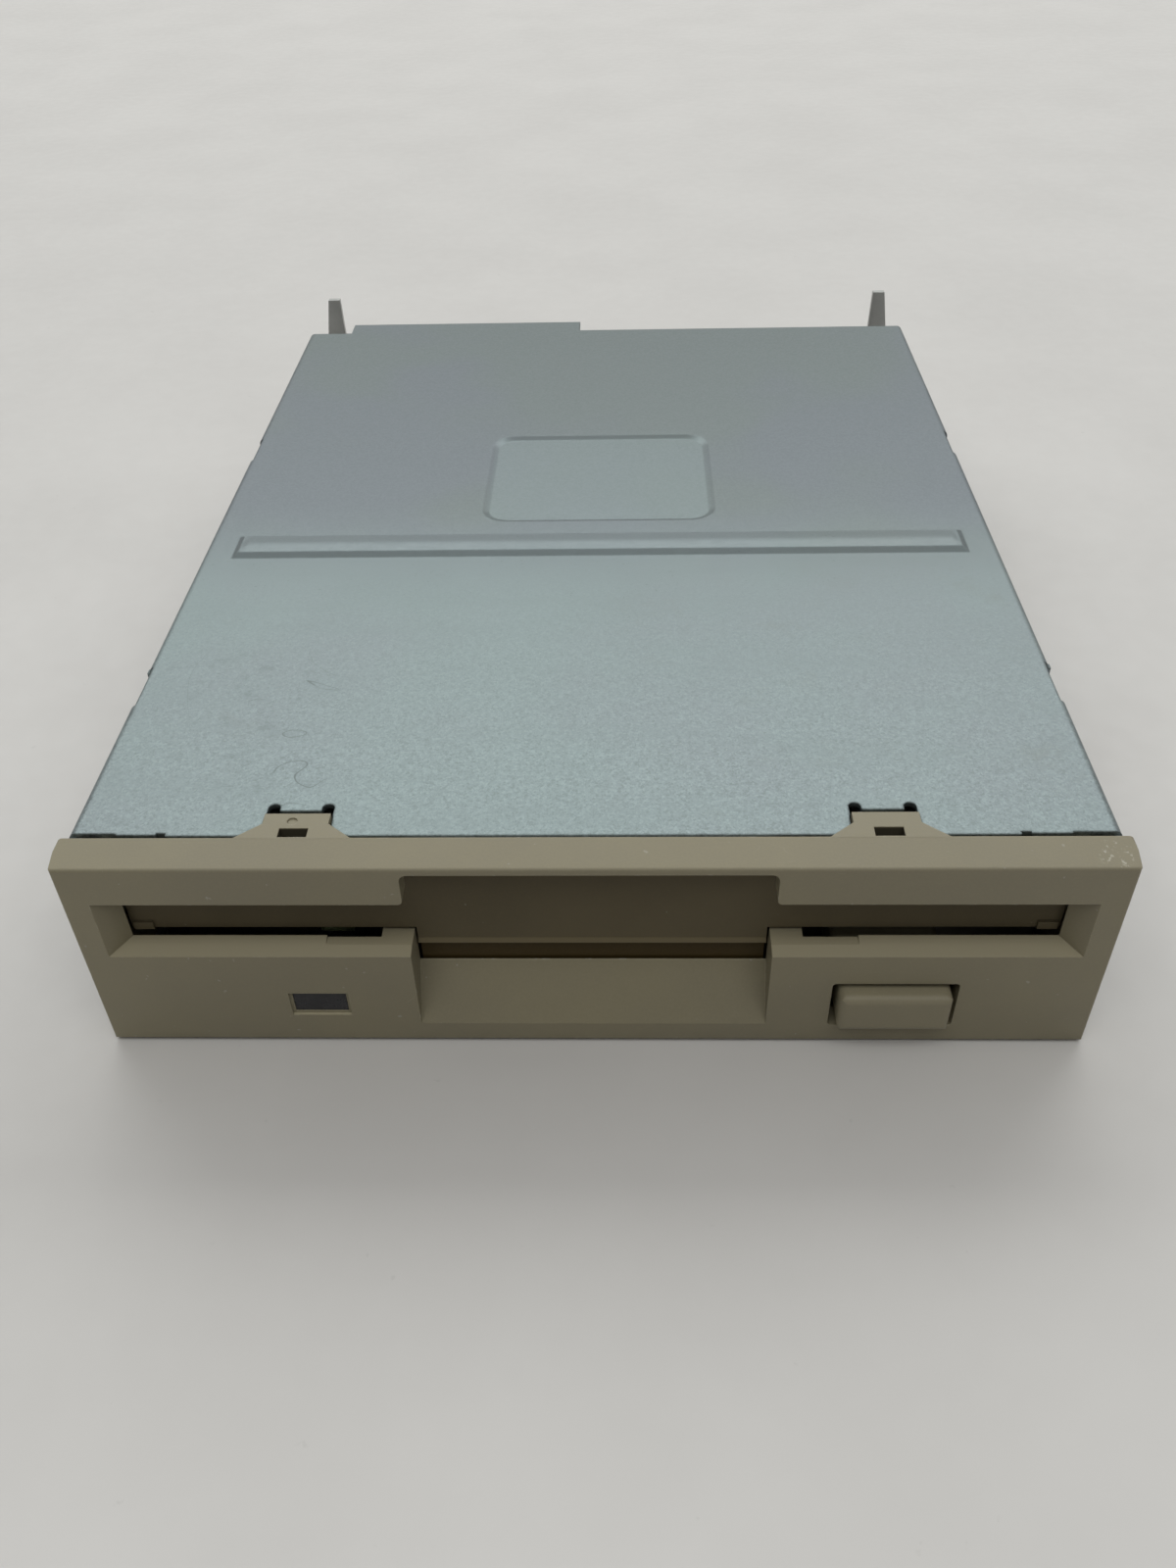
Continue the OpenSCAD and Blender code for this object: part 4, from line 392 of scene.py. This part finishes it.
def galvanised(name, base):
    """Zinc coated cover: fine grain in front, a rear darkened with painted shade, a panel painted paler as a
    painted reflection, and a crown on the bead.
    """
    s = Shader(name, Metallic=0.8, Specular_IOR_Level=0.4)
    fine = s.noise(5600, 2, 0.6, s.stretched(1, 0.8, 1))
    tone = s.add("ShaderNodeSeparateXYZ")
    s.link(s.cells(3600, "Color", s.stretched(1, 0.85, 1)), tone.inputs[0])
    flakes = s.math("ADD", s.math("MULTIPLY", tone.outputs["X"], 0.5), 0.25)
    grain = s.math("ADD", s.math("MULTIPLY", fine, 0.6), s.math("MULTIPLY", flakes, 0.4))
    patches = s.noise(70, 5, 0.62)
    colour = s.mix(s.levels(patches, 0.36, 0.7, 0, 0.5), base, shade(base, 0.93))
    cool = s.levels(s.noise(24, 3, 0.6), 0.42, 0.66)
    colour = s.coat(cool, 0.8, colour, tinted(base, 0.98, 0.93, 0.96))
    crisp = s.depth(6, 70, 0.52, 0.06)
    colour = s.mix(s.product(crisp, s.levels(grain, 0.5, 0.66)), colour, shade(base, 1.65))
    colour = s.mix(s.product(crisp, s.levels(grain, 0.5, 0.34)), colour, shade(base, 0.4))
    specks = s.product(s.levels(s.noise(2300, 2, 0.5), 0.66, 0.72), s.levels(s.noise(210, 3), 0.42, 0.62))
    colour = s.coat(specks, 0.5, colour, shade(base, 0.55))
    rolled = s.noise(240, 3, 0.6, s.stretched(0.12, 1, 1))
    colour = s.mix(s.levels(rolled, 0.45, 0.72, 0, 0.25), colour, shade(base, 0.9))
    stain = s.product(s.levels(s.noise(120, 5, 0.7), 0.53, 0.72), s.levels(s.noise(19, 2), 0.5, 0.64))
    colour = s.coat(stain, 0.3, colour, tinted(base, 0.8, 0.72, 0.66))
    hair = s.hairlines(s.noise(34, 3, 0.55, warp=1.6), 0.0009, 0.0024)
    marked = s.math("MAXIMUM", s.near(LONG_SCRATCH, 8), s.near(SHORT_SCRATCH, 4))
    scratch = s.product(hair, marked, s.levels(s.noise(160, 2), 0.4, 0.55))
    colour = s.coat(scratch, 0.8, colour, shade(base, 0.42))
    smudge = s.product(marked, s.levels(s.noise(380, 4, 0.7), 0.56, 0.72))
    colour = s.coat(smudge, 0.5, colour, shade(base, 0.6))
    # The rear half takes lilac and olive clouds: a tint of the zinc, darkened as painted shade for the
    # dimmer reflection there
    shaded_lilac, shaded_olive = tinted(base, 0.78, 0.725, 0.785), tinted(base, 0.775, 0.745, 0.74)
    shaded_rear_clouds = s.mix(s.levels(s.noise(26, 2), 0.42, 0.58), shaded_lilac, shaded_olive)
    colour = s.mix(s.depth(44, 74, 0, 0.9), colour, shaded_rear_clouds)
    # The panel keeps the plain colour, paler than the darkened rear round it: a painted reflection
    panel_reflection = s.product(
        s.band(s.axis("X"), 0, 14.2, 15.4, 0.6), s.band(s.axis("Y"), PANEL_Y - MID_Y, 11.4, 12.6))
    colour = s.mix(panel_reflection, colour, base)
    rub = s.product(s.edge(0.2), s.levels(s.noise(300, 3), 0.35, 0.6))
    colour = s.coat(rub, 0.3, colour, shade(base, 0.62))
    s.set("Base Color", colour)
    s.set("Roughness", s.levels(grain, 0.32, 0.68, 0.38, 0.5))
    crown = s.product(s.band(s.axis("Y"), BEAD_Y - MID_Y, 0, 2.2), s.band(s.axis("X"), 0, 44.6, 45.6))
    s.bump(crown, 0.14, 1.0, s.bump(grain, 0.005, 0.4, s.soft_edge(0.35)))
    return s.material


def plated_sheet(name, base, rough=0.38):
    """Plated steel sheet, painted dark at its front edge as painted shade inside the slot, and dark with
    dust on the floor under the slot.
    """
    s = Shader(name, Metallic=0.8)
    streak = s.noise(700, 3, 0.6, s.stretched(0.1, 1, 1))
    fine = s.noise(3000, 2, 0.6)
    colour = s.mix(s.levels(s.noise(150, 5, 0.65), 0.32, 0.68), shade(base, 0.93), shade(base, 1.06))
    colour = s.mix(s.levels(streak, 0.38, 0.7, 0, 0.2), colour, shade(base, 0.86))
    tint = s.product(s.levels(s.noise(40, 4, 0.6), 0.5, 0.72), s.levels(s.noise(300, 3), 0.4, 0.7))
    colour = s.coat(tint, 0.35, colour, tinted(base, 0.86, 0.78, 0.62))
    colour = s.coat(s.edge(0.15), 0.25, colour, shade(base, 1.3))
    # Painted shade: the front of the inner sheets, seen inside the slot, painted dark brown
    slot_shade = s.product(s.depth(7.5, 5.5), s.levels(s.noise(900, 3), 0.2, 0.6, 0.75, 1))
    colour = s.mix(slot_shade, colour, (0.045, 0.036, 0.022))
    dusty = s.product(s.depth(27, 20), s.height(12, 9), s.facing("Z", 0.3, 0.6))
    colour = s.coat(dusty, 0.9, colour, (0.06, 0.045, 0.026))
    s.set("Base Color", colour)
    s.set("Roughness", s.levels(fine, 0.3, 0.7, rough - 0.03, rough + 0.09))
    s.bump(fine, 0.004, 0.4, s.soft_edge(0.1))
    return s.material


def bright_steel(name, base, rough=0.2):
    """Turned or drawn metal with fine marks along its depth."""
    s = Shader(name, Metallic=1.0)
    lathe = s.noise(2400, 2, 0.6, s.stretched(1, 0.15, 1))
    colour = s.mix(s.levels(lathe, 0.3, 0.7), shade(base, 0.9), shade(base, 1.08))
    film = s.levels(s.noise(180, 4, 0.65), 0.55, 0.75)
    colour = s.coat(film, 0.3, colour, shade(base, 0.7))
    s.set("Base Color", colour)
    s.set("Roughness", s.levels(lathe, 0.3, 0.7, rough - 0.04, rough + 0.1))
    s.bump(lathe, 0.002, 0.3, s.soft_edge(0.06))
    return s.material


def spring_wire(name, base):
    s = Shader(name, Metallic=1.0)
    drawn = s.noise(5200, 2, 0.6)
    s.set("Base Color", s.mix(s.levels(drawn, 0.3, 0.7), shade(base, 0.82), shade(base, 1.1)))
    s.set("Roughness", s.levels(drawn, 0.3, 0.7, 0.24, 0.36))
    s.bump(drawn, 0.002, 0.3)
    return s.material


def moulded(name, base, rough=0.5, grain=0.008, metal=0.0):
    """Moulded or cast piece with a fine grain, its depth in mm, and paler edges."""
    s = Shader(name, Specular_IOR_Level=0.45, Metallic=metal)
    fine = s.noise(2600, 2, 0.5)
    colour = s.mix(s.levels(s.noise(90, 4), 0.3, 0.7), shade(base, 0.88), shade(base, 1.12))
    colour = s.mix(s.levels(fine, 0.4, 0.75, 0, 0.2), colour, shade(base, 1.35))
    colour = s.coat(s.edge(0.12), 0.3, colour, shade(base, 1.7))
    s.set("Base Color", colour)
    s.set("Roughness", s.levels(fine, 0.3, 0.7, rough - 0.06, rough + 0.08))
    s.bump(fine, grain, 0.5, s.soft_edge(0.08))
    return s.material


def smoked(name, base, rough):
    """Glossy plastic of the lens and the lamp."""
    s = Shader(name, Specular_IOR_Level=0.45)
    swirl = s.noise(420, 3, 0.6)
    s.set("Base Color", s.mix(s.levels(swirl, 0.35, 0.7), shade(base, 0.8), shade(base, 1.25)))
    s.set("Roughness", s.levels(s.noise(900, 2), 0.3, 0.7, rough - 0.05, rough + 0.08))
    s.bump(s.noise(700, 2), 0.002, 0.3, s.soft_edge(0.05))
    return s.material


def circuit_board(name, base):
    """Solder mask over square fields of copper tracks that run along X or along Y, with plated holes."""
    track_pitch = 0.9 * MM
    s = Shader(name, Specular_IOR_Level=0.5)
    flat = s.stretched(1, 1, 0)
    fields = s.add("ShaderNodeTexVoronoi", distance="CHEBYCHEV")
    s.link(flat, fields.inputs["Vector"])
    fields.inputs["Scale"].default_value = 130
    chance = s.add("ShaderNodeSeparateXYZ")
    s.link(fields.outputs["Color"], chance.inputs[0])
    stripes = []
    for axis in "XY":
        steps = s.math("PINGPONG", s.math("MULTIPLY", s.axis(axis), 1 / track_pitch), 0.5)
        stripes.append(s.levels(steps, 0.24, 0.29))
    along = s.levels(chance.outputs["X"], 0.499, 0.501)
    lines = s.add("ShaderNodeRGBToBW")
    s.link(s.mix(along, stripes[0], stripes[1]), lines.inputs[0])
    track = s.product(lines.outputs[0], s.levels(chance.outputs["Y"], 0.3, 0.301))
    colour = s.mix(track, base, shade(base, 1.5))
    pads = s.levels(s.cells(420, "Distance", flat), 0.13, 0.17, 1, 0)
    dots = s.product(pads, s.levels(s.noise(60, 2), 0.5, 0.56))
    colour = s.mix(dots, colour, (0.45, 0.45, 0.42))
    colour = s.mix(s.levels(s.noise(1800, 2), 0.5, 0.75, 0, 0.25), colour, shade(base, 0.7))
    s.set("Base Color", colour)
    s.set("Metallic", s.math("MULTIPLY", dots, 0.9))
    s.set("Roughness", s.levels(s.noise(700, 3), 0.3, 0.7, 0.3, 0.44))
    s.bump(s.math("MAXIMUM", track, dots), 0.03, 0.5, s.soft_edge(0.05))
    return s.material


def wound_copper(name, base):
    s = Shader(name, Metallic=0.85)
    turns = s.add("ShaderNodeTexWave", bands_direction="DIAGONAL")
    s.link(s.place, turns.inputs["Vector"])
    turns.inputs["Scale"].default_value = 900
    turns.inputs["Distortion"].default_value = 1.5
    s.set("Base Color", s.mix(turns.outputs["Fac"], shade(base, 0.6), shade(base, 1.15)))
    s.set("Roughness", s.levels(turns.outputs["Fac"], 0, 1, 0.4, 0.24))
    s.bump(turns.outputs["Fac"], 0.08, 0.8)
    return s.material


def floor_material():
    s = Shader("floor_finish", Specular_IOR_Level=0.25)
    colour = s.mix(s.levels(s.noise(26, 4), 0.3, 0.7), (0.625, 0.611, 0.601), (0.655, 0.641, 0.631))
    pores = s.levels(s.noise(420, 3, 0.6), 0.7, 0.76)
    colour = s.coat(pores, 0.2, colour, (0.42, 0.41, 0.40))
    s.set("Base Color", colour)
    s.set("Roughness", s.levels(s.noise(300, 2), 0.3, 0.7, 0.5, 0.7))
    s.bump(s.noise(500, 2), 0.05, 0.25)
    return s.material


BEIGE = (0.242, 0.216, 0.148)
FINISH = {
    "bezel_plastic": bezel_plastic("bezel_plastic", BEIGE, True),
    "button_plastic": bezel_plastic("button_plastic", shade(BEIGE, 1.02), False, 0.4),
    # The door's colour is a darker brown than the bezel's: painted shade for the door under the bezel's brow
    "door_plastic": door_plastic("door_plastic", (0.112, 0.092, 0.054)),
    "smoked_plastic": smoked("smoked_plastic", (0.017, 0.017, 0.021), 0.3),
    "clear_plastic": smoked("clear_plastic", (0.36, 0.42, 0.22), 0.12),
    "galvanised_sheet": galvanised("galvanised_sheet", (0.198, 0.240, 0.245)),
    "plated_sheet": plated_sheet("plated_sheet", (0.42, 0.425, 0.415)),
    "bright_steel": bright_steel("bright_steel", (0.56, 0.57, 0.58)),
    "spring_steel": spring_wire("spring_steel", (0.45, 0.45, 0.46)),
    "circuit_board": circuit_board("circuit_board", (0.022, 0.088, 0.034)),
    "black_plastic": moulded("black_plastic", (0.020, 0.020, 0.022)),
    "white_plastic": moulded("white_plastic", (0.60, 0.58, 0.50), 0.42),
    "bearing_bronze": bright_steel("bearing_bronze", (0.48, 0.33, 0.15), 0.34),
    "stator_steel": plated_sheet("stator_steel", (0.25, 0.25, 0.26)),
    "copper_wire": wound_copper("copper_wire", (0.55, 0.23, 0.10)),
    "magnet": moulded("magnet", (0.042, 0.039, 0.037), 0.55),
    "ceramic": moulded("ceramic", (0.085, 0.07, 0.056), 0.25, 0.003),
    "die_cast": moulded("die_cast", (0.34, 0.35, 0.36), 0.42, 0.012, 0.8),
    "contact_metal": bright_steel("contact_metal", (0.62, 0.48, 0.20)),
    "tinned_metal": bright_steel("tinned_metal", (0.55, 0.55, 0.53)),
}


def dress():
    for row in frame["record"]["subparts"]:
        mesh = NODES[row["node"]].data
        finish = FINISH["button_plastic" if row["node"] == "eject_button" else row["material_slot"]]
        mesh.materials.clear()
        mesh.materials.append(finish)


# Wire springs
def wire_mesh(name, path, radius):
    """Round wire of the given radius in mm along a path of points in mm, with domed ends."""
    points = [spot(*p) for p in path]
    radius *= MM
    rings = []
    last = len(points) - 1
    along = [(points[min(i + 1, last)] - points[max(i - 1, 0)]).normalized() for i in range(last + 1)]
    side = along[0].cross(Vector(WIRE_SIDE_HINT)).normalized()
    for point, ahead in zip(points, along):
        side = (side - ahead * side.dot(ahead)).normalized()
        rings.append((point, side.copy(), ahead.cross(side), 1.0))
    head = [(rings[0][0] - along[0] * radius * d, *rings[0][1:3], w) for d, w in reversed(WIRE_DOME)]
    tail = [(rings[-1][0] + along[-1] * radius * d, *rings[-1][1:3], w) for d, w in WIRE_DOME]
    verts, faces = [], []
    for centre, a, b, width in head + rings + tail:
        for k in range(WIRE_SIDES):
            turn = 2 * math.pi * k / WIRE_SIDES
            verts.append(centre + radius * width * (math.cos(turn) * a + math.sin(turn) * b))
    starts = range(0, len(verts), WIRE_SIDES)
    for near, far in zip(starts, starts[1:]):
        for k in range(WIRE_SIDES):
            n = (k + 1) % WIRE_SIDES
            faces.append((near + k, near + n, far + n, far + k))
    faces.append(tuple(range(WIRE_SIDES - 1, -1, -1)))
    faces.append(tuple(starts[-1] + k for k in range(WIRE_SIDES)))
    mesh = bpy.data.meshes.new(name)
    mesh.from_pydata(verts, [], faces)
    mesh.polygons.foreach_set("use_smooth", [True] * len(faces))
    mesh.update()
    made = bpy.data.objects.new(name, mesh)
    bpy.context.scene.collection.objects.link(made)
    mesh.materials.append(FINISH["spring_steel"])
    return made


def coil(start, axis, side, radius, turns, length):
    """Points of a coil from start along axis; side is the direction of its first point from the axis."""
    start, axis, side = Vector(start), Vector(axis), Vector(side)
    other = axis.cross(side)
    made = []
    for i in range(turns * COIL_STEPS + 1):
        angle = 2 * math.pi * i / COIL_STEPS
        made.append(start + axis * (length * i / (turns * COIL_STEPS))
                    + radius * (math.cos(angle) * side + math.sin(angle) * other))
    return made


def arc(centre, a, b, radius, begin, end, steps):
    """Points round a centre, from angle begin to angle end, measured from a towards b."""
    centre, a, b = Vector(centre), Vector(a), Vector(b)
    return [centre + radius * (math.cos(t) * a + math.sin(t) * b)
            for t in (begin + (end - begin) * i / steps for i in range(steps + 1))]


def torsion_path(start, axis, radius, turns, length, leg):
    """Coil whose ends run on straight along its axis, each by the length of a leg."""
    body = coil(start, axis, BACK, radius, turns, length)
    reach = Vector(axis) * leg
    return [body[0] - reach] + body + [body[-1] + reach]


def make_springs():
    # Eject springs: hooked over the chassis tab in front, looped round the plate's post behind
    x, z = 41.0, 22.8
    for side, name in ((-1, "left"), (1, "right")):
        body = coil((side * x, 19.6, z), BACK, UP, radius=0.75, turns=14, length=22.3)
        hook = [Vector((side * x, 16.93, z - 0.25))]
        hook += arc((side * x, 17.7, z + 0.1), FRONT, UP, radius=0.77, begin=0, end=math.pi, steps=14)
        hook += [Vector((side * x, 18.9, z + 0.3)), Vector((side * x, 19.3, z + 0.62))]
        loop = [Vector((side * x, 42.15, z + 0.7)), Vector((side * x, 42.55, z + 0.35))]
        loop += arc(
            (side * x, 44, z), FRONT, RIGHT, radius=0.97, begin=0.15, end=2 * math.pi - 0.35, steps=24)
        spring = wire_mesh("eject_spring_" + name, hook + body + loop, radius=0.2)
        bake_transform(spring)
        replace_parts(spring, "eject_springs")
    # Torsion springs: door hinge, shutter lever post and upper arm pin
    path = torsion_path((-42.45, 4.1, 22.5), RIGHT, radius=0.92, turns=4, length=3.6, leg=0.4)
    door = wire_mesh("door_spring_wire", path, radius=0.16)
    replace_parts(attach(door, "frame"), "door_spring")
    path = torsion_path((40.6, 109.5, 15.45), UP, radius=2.95, turns=4, length=3.8, leg=0.5)
    lever = wire_mesh("lever_spring_wire", path, radius=0.25)
    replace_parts(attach(lever, "frame"), "lever_spring")
    path = torsion_path((1.5, 115.5, 15.55), RIGHT, radius=1.35, turns=3, length=3.0, leg=0.3)
    load = wire_mesh("load_spring_wire", path, radius=0.2)
    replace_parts(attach(load, "carriage"), "load_spring")


def make_floor():
    bpy.ops.mesh.primitive_circle_add(
        vertices=96, radius=FLOOR_RADIUS, fill_type="NGON", location=(0, 0, -FLOOR_DROP * MM))
    floor = bpy.context.active_object
    floor.name = "floor"
    floor.data.materials.append(floor_material())


make_camera()
make_world()
make_light("back_panel", place=(0.0, 0.88, 0.85), size=(2.0, 0.7), energy=9.2)
make_light("top_panel", place=(0.0, -0.55, 1.1), size=(1.4, 0.6), energy=5.0)
dress()
make_springs()
make_floor()
bpy.context.scene.view_settings.view_transform = "Standard"
